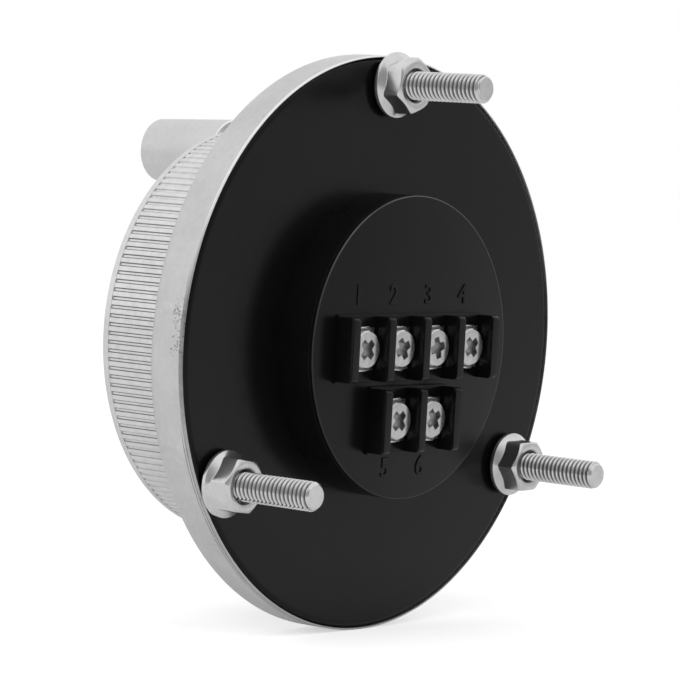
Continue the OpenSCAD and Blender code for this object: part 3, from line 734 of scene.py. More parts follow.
class NodeBook:
    """Builds each shared shader node group once and places it in materials."""

    def __init__(self) -> None:
        """Starts with no groups, knowing how each is made."""
        self.groups: dict[Effect, bpy.types.NodeTree] = {}
        self.makers: dict[Effect, Callable[[], None]] = {
            Effect.MOTTLE: self._mottle,
            Effect.GRAIN: self._grain,
            Effect.AXIS_DISTANCE: self._axis_distance,
            Effect.LATHE_LINES: self._lathe_lines,
            Effect.DRAWN_LINES: self._drawn_lines,
            Effect.SPECKS: self._specks,
            Effect.EDGE_WEAR: self._edge_wear,
            Effect.BOX_MASK: self._box_mask,
            Effect.DIAL_SCALE: self._dial_scale,
        }

    def place(self, w: Wiring, effect: Effect, **values: Value) -> bpy.types.NodeSocket:
        """Places an effect in a material; _ in an input's name stands for a space.

        Args:
            w: Wiring of the material.
            effect: The effect.
            **values: Value of each input that is set.

        Returns:
            What the effect puts out.
        """
        if effect not in self.groups:
            self.makers[effect]()
        n = w.node("ShaderNodeGroup")
        n.node_tree = self.groups[effect]
        for name, value in values.items():
            w.link(value, n.inputs[name.replace("_", " ")])
        return n.outputs[0]

    def _new(self, effect: Effect, output: str, **inputs: float) -> Wiring:
        """Makes an empty group of numbers; _ in an input's name stands for a space.

        Args:
            effect: The effect that the group gives.
            output: Name of its output.
            **inputs: Default of each input.

        Returns:
            A wiring helper for the group's tree.
        """
        number = "NodeSocketFloat"
        tree = bpy.data.node_groups.new(effect.value, "ShaderNodeTree")
        for name, default in inputs.items():
            socket = tree.interface.new_socket(name.replace("_", " "), in_out="INPUT", socket_type=number)
            socket.default_value = default
        tree.interface.new_socket(output, in_out="OUTPUT", socket_type=number)
        self.groups[effect] = tree
        return Wiring(tree)

    def _mottle(self) -> None:
        """Slow blotches mixed with fine ones, 0 to 1."""
        finer = 9.0
        w = self._new(Effect.MOTTLE, "Value", Scale=200.0, Fine=0.4)
        big = w.noise(w.place(), w.input("Scale"), detail=3.0, rough=0.55)
        small = w.noise(w.place(), w.times(w.input("Scale"), finer), detail=2.0, rough=0.6)
        w.output("Value", w.blend(w.input("Fine"), big, small))

    def _grain(self) -> None:
        """Fine blasted or moulded grain as a height, 0 to 1."""
        w = self._new(Effect.GRAIN, "Height", Scale=3000.0)
        w.output("Height", w.noise(w.place(), w.input("Scale"), detail=2.0, rough=0.5))

    def _axis_distance(self) -> None:
        """Distance from a line along Y, in metres."""
        w = self._new(Effect.AXIS_DISTANCE, "Distance", Axis_X=0.0, Axis_Z=0.0)
        x, _, z = w.split(w.place())
        dx = w.maths("SUBTRACT", x, w.input("Axis X"))
        dz = w.maths("SUBTRACT", z, w.input("Axis Z"))
        w.output("Distance", w.diagonal(dx, dz))

    def _lathe_lines(self) -> None:
        """Fine lines that a turning tool leaves round a line along Y, as a height."""
        metres_per_radian = 0.0006
        w = self._new(Effect.LATHE_LINES, "Height", Scale=4000.0, Axis_X=0.0, Axis_Z=0.0)
        x, y, z = w.split(w.place())
        dx = w.maths("SUBTRACT", x, w.input("Axis X"))
        dz = w.maths("SUBTRACT", z, w.input("Axis Z"))
        turn = w.times(w.maths("ARCTAN2", dx, dz), metres_per_radian)
        spot = w.merge(w.diagonal(dx, dz), y, turn)
        w.output("Height", w.noise(spot, w.input("Scale"), detail=2.0, rough=0.6))

    def _drawn_lines(self) -> None:
        """Fine lines along Y, as a height."""
        shrink = 0.03
        w = self._new(Effect.DRAWN_LINES, "Height", Scale=3000.0)
        x, y, z = w.split(w.place())
        spot = w.merge(x, w.times(y, shrink), z)
        w.output("Height", w.noise(spot, w.input("Scale"), detail=2.0, rough=0.6))

    def _specks(self) -> None:
        """Small sparse round pits as a mask, kept where Keep is over 0."""
        w = self._new(Effect.SPECKS, "Mask", Scale=1500.0, Size=0.2, Share=0.3, Keep=1.0)
        distance, colour = w.cells(w.place(), w.input("Scale"))
        chosen = w.maths("LESS_THAN", w.grey(colour), w.input("Share"))
        dot = w.ramp(distance, w.input("Size"), 0.0)
        w.output("Mask", w.times(dot, chosen, w.input("Keep")))

    def _edge_wear(self) -> None:
        """Bright rubbed edges as a mask, broken up by noise."""
        flat, sharp = 0.51, 0.56
        gap, whole = 0.35, 0.65
        w = self._new(Effect.EDGE_WEAR, "Mask", Amount=0.5, Scale=900.0)
        edge = w.ramp(w.pointiness(), flat, sharp)
        broken = w.noise(w.place(), w.input("Scale"), detail=3.0, rough=0.6)
        w.output("Mask", w.times(edge, w.ramp(broken, gap, whole), w.input("Amount")))

    def _box_mask(self) -> None:
        """1 inside a box round a centre, fading at its sides."""
        core, small = 0.6, 0.001
        names = ("X", "Y", "Z")
        inputs = {name: 0.0 for name in names} | {"Half_" + name: small for name in names}
        w = self._new(Effect.BOX_MASK, "Mask", **inputs)
        insides = []
        for axis, name in zip(w.split(w.place()), names):
            share = w.maths("DIVIDE", w.away(axis, w.input(name)), w.input("Half " + name))
            insides.append(w.ramp(share, 1.0, core))
        w.output("Mask", w.times(*insides))

    def _dial_scale(self) -> None:
        """Engraved lines of a round scale as a mask, long at each tenth line."""
        w = self._new(
            Effect.DIAL_SCALE, "Mask", Count=100.0, Inner=0.033, Inner_Long=0.032, Outer=0.035, Line=0.0002
        )
        x, _, z = w.split(w.place())
        radius = w.diagonal(x, z)
        turn = w.maths("DIVIDE", w.maths("ARCTAN2", x, z), 2 * math.pi)
        whole_turns = 100.0

        def lines(count: bpy.types.NodeSocket, inner: bpy.types.NodeSocket) -> Value:
            """Draws evenly spaced radial lines.

            Args:
                count: Number of lines in a full turn.
                inner: Radius at which they start.

            Returns:
                The lines' mask.
            """
            place = w.maths("ADD", w.times(turn, count), 0.5)
            off = w.away(w.maths("FRACT", w.maths("ADD", place, whole_turns)), 0.5)
            reach = w.maths("DIVIDE", w.times(off, radius, 2 * math.pi), count)
            near = w.maths("LESS_THAN", reach, w.times(w.input("Line"), 0.5))
            return w.times(near, w.maths("GREATER_THAN", radius, inner))

        tenth = w.maths("DIVIDE", w.input("Count"), 10.0)
        short, long = lines(w.input("Count"), w.input("Inner")), lines(tenth, w.input("Inner Long"))
        outer = w.maths("LESS_THAN", radius, w.input("Outer"))
        w.output("Mask", w.times(w.maths("MAXIMUM", short, long), outer))


# ------------------------------------------------------------------ finishes


@dataclass
class Surface:
    """A material in the making, with its colour and roughness so far."""

    w: Wiring
    book: NodeBook
    colour: Value
    rough: Value

    def effect(self, effect: Effect, **values: Value) -> bpy.types.NodeSocket:
        """Places a shared effect and gives what it puts out."""
        return self.book.place(self.w, effect, **values)

    def spot(self) -> tuple[bpy.types.NodeSocket, bpy.types.NodeSocket, bpy.types.NodeSocket]:
        """Coordinates x, y and z of the surface, in metres."""
        return self.w.split(self.w.place())

    def from_axis(self, x: float = 0.0, z: float = 0.0) -> bpy.types.NodeSocket:
        """Distance in metres from a line along Y, whose place is in millimetres."""
        return self.effect(Effect.AXIS_DISTANCE, Axis_X=x * MM, Axis_Z=z * MM)

    def box(self, centre: Sequence[float], half: Sequence[float]) -> bpy.types.NodeSocket:
        """Masks a box.

        Args:
            centre: Its centre in millimetres.
            half: Half of each of its sides in millimetres.

        Returns:
            The mask.
        """
        values = {axis: v * MM for axis, v in zip("XYZ", centre)}
        values |= {"Half_" + axis: v * MM for axis, v in zip("XYZ", half)}
        return self.effect(Effect.BOX_MASK, **values)

    def lay(self, mask: Value, colour: Colour, rough: float | None = None) -> None:
        """Lays a colour on the surface.

        Args:
            mask: Where it lies, 0 to 1.
            colour: The colour.
            rough: Its roughness, if it isn't the surface's own.
        """
        self.colour = self.w.tint(mask, self.colour, colour)
        if rough is not None:
            self.rough = self.w.blend(mask, self.rough, rough)


@dataclass(frozen=True)
class Finish:
    """A surface: its colour range, gloss range and fine relief.

    The colours are the two ends between which slow blotches move the surface.
    """

    name: str
    light: Colour
    dark: Colour
    metal: float = 0.0
    rough: tuple[float, float] = (0.4, 0.5)
    grain: Effect = Effect.GRAIN
    grain_scale: float = 3000.0
    relief: float = 0.2
    depth: float = 0.00002
    mottle_scale: float = 180.0
    mottle_ends: tuple[float, float] = (0.3, 0.7)
    wear: float = 0.0
    wear_colour: Colour = (0.9, 0.9, 0.9)
    wear_rough: float = 0.28
    specular: float = 0.5
    coat: float = 0.0
    axis: Point = (0.0, 0.0)

    def _detail(self, s: Surface) -> None:
        """Lets a special finish add to the surface; a plain one adds nothing."""

    def build(self, book: NodeBook) -> bpy.types.Material:
        """Makes the material.

        Args:
            book: Where the shared node groups come from.

        Returns:
            The finished material.
        """
        material = bpy.data.materials.new(self.name)
        material.use_nodes = True
        tree = material.node_tree
        tree.nodes.clear()
        w = Wiring(tree)
        shader = w.node("ShaderNodeBsdfPrincipled")
        out = w.node("ShaderNodeOutputMaterial")
        tree.links.new(shader.outputs[0], out.inputs[0])
        wide = w.ramp(book.place(w, Effect.MOTTLE, Scale=self.mottle_scale), *self.mottle_ends)
        smooth, coarse = self.rough
        surface = Surface(w, book, w.tint(wide, self.dark, self.light), w.span(wide, coarse, smooth))
        values: dict[str, Value] = {"Scale": self.grain_scale}
        if self.grain is Effect.LATHE_LINES:
            values |= {"Axis_X": self.axis[0] * MM, "Axis_Z": self.axis[1] * MM}
        height = surface.effect(self.grain, **values)
        if self.wear > 0:
            surface.lay(surface.effect(Effect.EDGE_WEAR, Amount=self.wear), self.wear_colour, self.wear_rough)
        self._detail(surface)
        w.link(surface.colour, shader.inputs["Base Color"])
        w.link(surface.rough, shader.inputs["Roughness"])
        w.link(w.bump(height, self.relief, self.depth), shader.inputs["Normal"])
        shader.inputs["Metallic"].default_value = self.metal
        shader.inputs["Specular IOR Level"].default_value = self.specular
        shader.inputs["Coat Weight"].default_value = self.coat
        return material


@dataclass(frozen=True)
class FlangeFinish(Finish):
    """Blasted flange metal, scored and pitted on its side near the rear edge, with painted shade along that
    edge and at the front and a painted highlight on the upper rear edge.
    """

    blotch_scale: float = 260.0
    blotch_ends: tuple[float, float] = (0.2, 0.6)
    # painted shade: grey of the strip along the rear edge and of the rounded front
    painted_shade_colour: Colour = (0.24, 0.24, 0.24)
    strip: float = -0.55
    strip_soft: float = 0.06
    strip_top: tuple[float, float] = (14.0, 4.0)
    strip_foot: tuple[float, float] = (-16.0, -5.0)
    strip_foot_share: float = 0.3
    strip_shares: tuple[float, float] = (0.5, 0.9)
    scores: tuple[float, float] = (-0.80, -0.36)
    score_edge: tuple[float, float] = (0.11, 0.04)
    score_top: tuple[float, float] = (-9.0, -14.0)
    score_shares: tuple[float, float] = (0.3, 0.8)
    # painted highlight: a bright band on the rear edge, on the upper side only
    highlight_level: float = -0.24
    highlight_soft: float = 0.08
    highlight_foot: tuple[float, float] = (13.0, 19.0)
    highlight_shares: tuple[float, float] = (1.0, 0.8)
    highlight_colour: Colour = (0.96, 0.96, 0.96)
    # painted shade on the rounded front edge
    front: float = -6.2
    front_fade: float = 1.1
    front_shade_share: float = 0.55
    pit_band: tuple[float, float, float] = (0.0, -0.9, 0.0)
    pit_band_half: tuple[float, float, float] = (60.0, 1.1, 60.0)
    pit_patch: tuple[float, float, float] = (39.6, -1.0, 2.6)
    pit_patch_half: tuple[float, float, float] = (3.0, 1.3, 4.4)
    pit_patch_ends: tuple[float, float] = (0.05, 0.5)
    pit_share: float = 0.7
    pit_rough: float = 0.7
    pit_colour: Colour = (0.10, 0.10, 0.10)

    def _detail(self, s: Surface) -> None:
        """Adds a strip of painted shade along the rear edge, the scored lines, a painted highlight on the
        upper rear edge, painted shade at the front and the pits.

        Args:
            s: The surface.
        """
        blotches = s.w.ramp(s.effect(Effect.MOTTLE, Scale=self.blotch_scale), *self.blotch_ends)
        _, y, z = s.spot()
        self._shade_strip(s, blotches, y, z)
        self._score(s, blotches, y, z)
        # Painted highlight on the rear edge, on the upper side of the flange only.
        rear = s.w.fade(y, self.highlight_level - self.highlight_soft, self.highlight_level)
        edge = s.w.times(rear, s.w.fade(z, *self.highlight_foot))
        s.lay(s.w.times(edge, s.w.span(blotches, *self.highlight_shares)), self.highlight_colour)
        # Painted shade on the rounded front edge, which turns away from the light.
        shade = s.w.fade(y, self.front + self.front_fade, self.front)
        s.lay(s.w.times(shade, self.front_shade_share), self.painted_shade_colour)
        self._pit(s)

    def _shade_strip(self, s: Surface, blotches: Value, y: Value, z: Value) -> None:
        """Paints shade in a strip along the rear edge, at the middle of the flange's height.

        Args:
            s: The surface.
            blotches: Blotches that break up the painted shade, 0 to 1.
            y: Coordinate along the axis.
            z: Coordinate upwards.
        """
        # Painted shade along the rear edge: strongest at mid-height, weaker low down, none high up.
        foot = s.w.span(s.w.fade(z, *self.strip_foot), self.strip_foot_share, 1.0)
        middle = s.w.times(s.w.fade(z, *self.strip_top), foot)
        strip = s.w.fade(y, self.strip - self.strip_soft, self.strip + self.strip_soft)
        strip = s.w.times(strip, s.w.span(blotches, *self.strip_shares))
        s.lay(s.w.times(strip, middle), self.painted_shade_colour)

    def _score(self, s: Surface, blotches: Value, y: Value, z: Value) -> None:
        """Scores fine lines beside the rear edge, on the lower side.

        Args:
            s: The surface.
            blotches: Blotches that break up the lines, 0 to 1.
            y: Coordinate along the axis.
            z: Coordinate upwards.
        """
        low = s.w.times(s.w.fade(z, *self.score_top), s.w.span(blotches, *self.score_shares))
        for level in self.scores:
            line = s.w.fade(s.w.away(y, level * MM), *self.score_edge)
            s.lay(s.w.times(line, low), self.pit_colour)

    def _pit(self, s: Surface) -> None:
        """Pits the rear edge, thinly all round and thickly in one patch.

        Args:
            s: The surface.
        """
        band = s.box(self.pit_band, self.pit_band_half)
        patch = s.w.ramp(s.box(self.pit_patch, self.pit_patch_half), *self.pit_patch_ends)
        thin = s.effect(Effect.SPECKS, Scale=1100.0, Size=0.22, Share=0.10, Keep=band)
        thick = s.effect(Effect.SPECKS, Scale=2900.0, Size=0.75, Share=0.5, Keep=patch)
        pits = s.w.maths("MAXIMUM", thin, thick)
        s.colour = s.w.tint(s.w.times(pits, self.pit_share), s.colour, self.pit_colour)
        s.rough = s.w.blend(pits, s.rough, self.pit_rough)


def stud_angles() -> list[float]:
    """Clock angles of the three studs, in radians from straight up towards +X."""
    return [0.0, math.radians(-120), math.radians(-240)]


def stud_places(reach: float = STUD_REACH) -> tuple[Point, ...]:
    """Places of the three studs as (x, z), in the order of their angles."""
    return tuple(clock_place(reach, angle) for angle in stud_angles())


def terminal_places(centre_x: float = TERMINAL_CENTRE, pitch: float = TERMINAL_PITCH) -> tuple[Point, ...]:
    """Finds the six terminals.

    Args:
        centre_x: The x of the middle of both rows.
        pitch: Distance between two terminals of a row.

    Returns:
        Their places as (x, z), the upper row first and each row from +X to -X.
    """
    return tuple(
        (centre_x + ((count - 1) / 2 - i) * pitch, z) for count, z in TERMINAL_ROWS for i in range(count)
    )


@dataclass(frozen=True)
class LidFinish(Finish):
    """Black moulding with a painted highlight on the rim round its face."""

    rim: float = BOSS_RADIUS
    face: float = LID_FACE
    rim_width: float = 0.15
    # painted highlight on the rim
    rim_colour: Colour = (0.10, 0.10, 0.10)
    side_ends: tuple[float, float] = (-0.05, 0.02)
    face_ends: tuple[float, float] = (-0.02, 0.05)
    gap_scale: float = 160.0
    gap_ends: tuple[float, float] = (0.25, 0.6)
    gap_share: float = 0.45
    slant: float = 0.6
    slant_ends: tuple[float, float] = (-14.0, 10.0)
    slant_share: float = 0.25

    def _detail(self, s: Surface) -> None:
        """Adds a painted highlight on the rim, broken up a little and fainter low down towards +X.

        Args:
            s: The surface.
        """
        side, face = self.rim - self.rim_width, self.face - self.rim_width
        outside = s.w.fade(s.from_axis(), *(side + v for v in self.side_ends))
        x, y, z = s.spot()
        near = s.w.fade(y, *(face + v for v in self.face_ends))
        gaps = s.w.ramp(s.effect(Effect.MOTTLE, Scale=self.gap_scale), *self.gap_ends)
        upper = s.w.fade(s.w.maths("SUBTRACT", z, s.w.times(x, self.slant)), *self.slant_ends)
        mask = s.w.times(outside, near, s.w.span(gaps, self.gap_share, 1.0))
        # Painted highlight on the rim, brightest high up towards -X.
        s.lay(s.w.times(mask, s.w.span(upper, self.slant_share, 1.0)), self.rim_colour)


@dataclass(frozen=True)
class CoverFinish(Finish):
    """Black moulding with painted shade on its rounded outer edge."""

    edge: float = 38.8
    edge_soft: float = 0.15
    # painted shade on the rounded outer edge
    edge_shade_colour: Colour = (0.0005, 0.0005, 0.0005)

    def _detail(self, s: Surface) -> None:
        """Darkens the outer edge with painted shade."""
        outside = s.w.fade(s.from_axis(), self.edge - self.edge_soft, self.edge + self.edge_soft)
        s.lay(outside, self.edge_shade_colour)


@dataclass(frozen=True)
class FastenerFinish(Finish):
    """Plated steel with painted shade close to some axes between two heights: in thread roots, nut
    countersinks, screw recesses and on washers round the screw heads.
    """

    places: tuple[Point, ...] = ()
    unshaded_radius: float = 1.9
    dark_radius: float = 1.67
    low: float = -10.0
    high: float = 16.3
    # painted shade: its strength, roughness and colour
    shade_strength: float = 0.84
    shade_rough: float = 0.4
    shade_colour: Colour = (0.05, 0.05, 0.05)

    def _detail(self, s: Surface) -> None:
        """Adds the painted shade.

        Args:
            s: The surface.
        """
        nearest: Value = 1.0
        for place in self.places:
            nearest = s.w.maths("MINIMUM", s.from_axis(*place), nearest)
        deep = s.w.fade(nearest, self.unshaded_radius, self.dark_radius)
        _, y, _ = s.spot()
        between = s.w.within(y, self.low * MM, self.high * MM)
        # Painted shade in recesses and round heads, where light doesn't reach.
        s.lay(s.w.times(deep, between, self.shade_strength), self.shade_colour, self.shade_rough)


@dataclass(frozen=True)
class WheelFinish(Finish):
    """Turned wheel metal, with painted shade on the walls between the grip ribs."""

    root: float = RIB_ROOT
    tip: float = RIB_TIP
    wall_ends: tuple[float, float] = (0.005, 0.03)
    ribs_low: float = -23.8
    ribs_high: float = -8.8
    # painted shade on the rib walls, and how it fades with height
    wall_shade_colour: Colour = (0.06, 0.06, 0.06)
    shade_height_ends: tuple[float, float] = (24.0, 12.0)
    shade_height_shares: tuple[float, float] = (0.22, 0.82)

    def _detail(self, s: Surface) -> None:
        """Darkens what lies between the grooves' floors and the ribs' lands with painted shade, most at half
        height.

        Args:
            s: The surface.
        """
        radius = s.from_axis()
        above = s.w.fade(radius, *(self.root + v for v in self.wall_ends))
        below = s.w.fade(radius, *(self.tip - v for v in self.wall_ends))
        _, y, z = s.spot()
        between = s.w.within(y, self.ribs_low * MM, self.ribs_high * MM)
        groove_shade = s.w.span(s.w.fade(s.w.maths("ABSOLUTE", z), *self.shade_height_ends), *self.shade_height_shares)
        # Painted shade in the grooves, strongest at half height.
        s.lay(s.w.times(above, below, between, groove_shade), self.wall_shade_colour)


@dataclass(frozen=True)
class HandleFinish(Finish):
    """Turned handle metal with a painted highlight on its foot."""

    foot: float = -25.6
    foot_ends: tuple[float, float] = (-0.02, 0.04)
    # painted highlight on the foot
    foot_highlight_colour: Colour = (0.96, 0.96, 0.96)

    def _detail(self, s: Surface) -> None:
        """Brightens the foot with a painted highlight."""
        _, y, _ = s.spot()
        # Painted highlight on the foot's end and edge.
        s.lay(s.w.fade(y, *(self.foot + v for v in self.foot_ends)), self.foot_highlight_colour)


@dataclass(frozen=True)
class DialFinish(Finish):
    """Black anodised dial with an engraved and filled scale and a bright front rim."""

    scale_lines: float = 100.0
    scale_inner: float = 33.4
    scale_inner_long: float = 32.6
    scale_outer: float = 34.9
    line: float = 0.2
    fill: Colour = (0.82, 0.82, 0.80)
    fill_rough: float = 0.6
    rim: float = 35.3
    rim_high: float = -6.3
    rim_colour: Colour = (0.86, 0.86, 0.86)

    def _detail(self, s: Surface) -> None:
        """Adds the scale and the bright rim.

        Args:
            s: The surface.
        """
        scale = s.effect(
            Effect.DIAL_SCALE, Count=self.scale_lines, Inner=self.scale_inner * MM, Line=self.line * MM,
            Inner_Long=self.scale_inner_long * MM, Outer=self.scale_outer * MM,
        )
        s.lay(scale, self.fill, self.fill_rough)
        _, y, _ = s.spot()
        outside = s.w.maths("GREATER_THAN", s.from_axis(), self.rim * MM)
        s.lay(s.w.times(outside, s.w.maths("LESS_THAN", y, self.rim_high * MM)), self.rim_colour)


@dataclass(frozen=True)
class BoardFinish(Finish):
    """Lacquered circuit board with tracks under the lacquer."""

    track: Colour = (0.07, 0.30, 0.13)
    track_share: float = 0.7
    track_width: float = 0.16
    tracks_per_metre: tuple[float, float] = (700.0, 500.0)
    field_scale: float = 220.0
    field_ends: tuple[float, float] = (0.49, 0.51)

    def _detail(self, s: Surface) -> None:
        """Adds tracks upwards in some fields and across in the others.

        Args:
            s: The surface.
        """
        x, _, z = s.spot()
        stripes = []
        for axis, step in zip((x, z), self.tracks_per_metre):
            wave = s.w.away(s.w.maths("FRACT", s.w.times(axis, step)), 0.5)
            stripes.append(s.w.maths("LESS_THAN", wave, self.track_width))
        field = s.w.ramp(s.w.noise(s.w.place(), self.field_scale, detail=0.0, rough=0.5), *self.field_ends)
        s.lay(s.w.times(s.w.blend(field, *stripes), self.track_share), self.track)


def finishes(handle_axis: Point) -> dict[str, Finish]:
    """Lists the finish of each material slot.

    Args:
        handle_axis: Place of the crank handle's axis as (x, z).

    Returns:
        The finishes by slot name, with a few extra ones for single pieces.
    """
    black = ((0.0055, 0.0055, 0.0057), (0.0035, 0.0035, 0.0038))
    moulded = dict(
        rough=(0.22, 0.28), grain_scale=5200.0, relief=0.10, depth=0.00001, mottle_scale=90.0, specular=0.20
    )
    zinc = dict(
        metal=0.93, rough=(0.16, 0.26), relief=0.14, mottle_scale=420.0, wear=0.3,
        wear_colour=(0.82, 0.82, 0.82),
    )
    lathe = Effect.LATHE_LINES
    made = [
        FlangeFinish("silver_anodised", (0.63, 0.63, 0.63), (0.57, 0.57, 0.57), metal=0.75,
                     rough=(0.42, 0.52), grain_scale=3800.0, relief=0.25, mottle_scale=150.0, wear=0.35),
        WheelFinish("turned_aluminium", (0.73, 0.73, 0.73), (0.66, 0.66, 0.67), metal=0.85,
                    rough=(0.34, 0.44), grain=lathe, grain_scale=5200.0, relief=0.22, mottle_scale=160.0,
                    wear=0.3),
        HandleFinish("handle_aluminium", (0.67, 0.67, 0.67), (0.62, 0.62, 0.63), metal=0.8,
                     rough=(0.36, 0.46), grain=lathe, grain_scale=5200.0, relief=0.18, mottle_scale=160.0,
                     wear=0.3, axis=handle_axis),
        DialFinish("black_anodised", (0.035, 0.035, 0.037), (0.022, 0.022, 0.024), metal=0.3,
                   rough=(0.38, 0.5), grain=lathe, grain_scale=5200.0, relief=0.15),
        Finish("black_plastic", *black, **moulded),
        CoverFinish("cover_plastic", *black, **moulded),
        LidFinish("lid_plastic", *black, **moulded),
        Finish("plated_steel", (0.68, 0.68, 0.68), (0.56, 0.56, 0.57), **zinc),
        FastenerFinish("stud_steel", (0.72, 0.72, 0.72), (0.60, 0.60, 0.61), places=stud_places(), **zinc),
        FastenerFinish("nut_steel", (0.70, 0.70, 0.70), (0.58, 0.58, 0.59), places=stud_places(),
                       unshaded_radius=2.58, dark_radius=2.3, low=2.0, high=20.0, **zinc),
        FastenerFinish("screw_steel", (0.66, 0.66, 0.66), (0.50, 0.50, 0.51), places=terminal_places(),
                       unshaded_radius=2.3, dark_radius=2.2, low=7.5, high=8.27, shade_strength=0.5, **zinc),
        FastenerFinish("washer_steel", (0.92, 0.92, 0.92), (0.80, 0.80, 0.81), places=terminal_places(),
                       unshaded_radius=3.0, dark_radius=2.75, low=7.0, high=8.0, **zinc),
        Finish("bearing_steel", (0.74, 0.74, 0.75), (0.66, 0.66, 0.68), metal=1.0, rough=(0.10, 0.2),
               grain=lathe, grain_scale=6000.0, relief=0.06),
        Finish("spring_steel", (0.16, 0.16, 0.17), (0.10, 0.10, 0.11), metal=1.0, rough=(0.3, 0.42),
               relief=0.1),
        Finish("soft_iron", (0.42, 0.42, 0.43), (0.33, 0.33, 0.34), metal=1.0, rough=(0.34, 0.46),
               relief=0.15, mottle_scale=260.0, wear=0.3),
        Finish("ferrite", (0.045, 0.045, 0.048), (0.028, 0.028, 0.03), rough=(0.55, 0.7), relief=0.35,
               grain_scale=2600.0, mottle_scale=300.0),
        Finish("brass", (0.72, 0.55, 0.24), (0.60, 0.44, 0.17), metal=1.0, rough=(0.24, 0.36), grain=lathe,
               grain_scale=5000.0, relief=0.12, wear=0.2, wear_colour=(0.85, 0.70, 0.38)),
        Finish("nickel_brass", (0.68, 0.66, 0.60), (0.56, 0.54, 0.48), metal=1.0, rough=(0.24, 0.36),
               relief=0.12),
        Finish("etched_disc", (0.50, 0.51, 0.53), (0.42, 0.43, 0.45), metal=1.0, rough=(0.3, 0.42),
               grain=Effect.DRAWN_LINES, relief=0.08),
        Finish("lamp_resin", (0.55, 0.62, 0.74), (0.46, 0.52, 0.64), rough=(0.08, 0.16), relief=0.04,
               coat=0.4),
        Finish("sensor_resin", (0.035, 0.02, 0.04), (0.02, 0.012, 0.024), rough=(0.1, 0.2), relief=0.04,
               coat=0.3),
        BoardFinish("board_laminate", (0.03, 0.17, 0.08), (0.022, 0.13, 0.06), rough=(0.26, 0.38),
                    relief=0.12, mottle_scale=300.0, coat=0.2),
        Finish("chip_body", (0.03, 0.03, 0.032), (0.02, 0.02, 0.022), rough=(0.5, 0.62), relief=0.3,
               grain_scale=6000.0),
        Finish("ceramic_chip", (0.42, 0.32, 0.21), (0.34, 0.25, 0.16), rough=(0.4, 0.52), relief=0.15),
        Finish("mark_paint", (0.02, 0.02, 0.02), (0.012, 0.012, 0.012), rough=(0.5, 0.6), relief=0.2),
        Finish("scale_paint", (0.80, 0.80, 0.78), (0.70, 0.70, 0.68), rough=(0.5, 0.6), relief=0.15),
    ]
    return {finish.name: finish for finish in made}


class Wardrobe:
    """Builds each finish once and puts it on pieces."""

    def __init__(self, handle_axis: Point) -> None:
        """Prepares the finishes without building them.

        Args:
            handle_axis: Place of the crank handle's axis as (x, z).
        """
        self.book = NodeBook()
        self.finishes = finishes(handle_axis)
        self.made: dict[str, bpy.types.Material] = {}

    def dress(self, obj: bpy.types.Object, name: str) -> None:
        """Puts a finish on the whole of an object.

        Args:
            obj: The object.
            name: Name of the finish, which is built on first use.
        """
        if name not in self.made:
            self.made[name] = self.finishes[name].build(self.book)
        obj.data.materials.clear()
        obj.data.materials.append(self.made[name])


# -------------------------------------------------------------- sub-assemblies


class Body(Enum):
    """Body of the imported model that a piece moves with."""

    HOUSING = "housing"
    ROTOR = "rotor"
    HANDLE = "handle"


def span_of(node: str) -> tuple[Vector, Vector]:
    """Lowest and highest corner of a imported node, in millimetres."""
    low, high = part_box(node)
    return Vector(low) / MM, Vector(high) / MM


@dataclass
class SubAssembly:
    """Pieces that belong together and take their finishes from one wardrobe."""

    wardrobe: Wardrobe

    def settle(
        self, obj: bpy.types.Object, body: Body, slot: str, node: str | None = None, finish: str | None = None
    ) -> None:
        """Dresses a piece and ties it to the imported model.

        Args:
            obj: The piece.
            body: Body that it rides on.
            slot: Material slot of the record.
            node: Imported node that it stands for, if there is one.
            finish: Name of the finish, if it isn't the slot's own.
        """
        self.wardrobe.dress(obj, finish or slot)
        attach(obj, body.value)
        if node:
            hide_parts(node)
        LOG.info("%s: %d faces on %s", obj.name, len(obj.data.polygons), body.value)


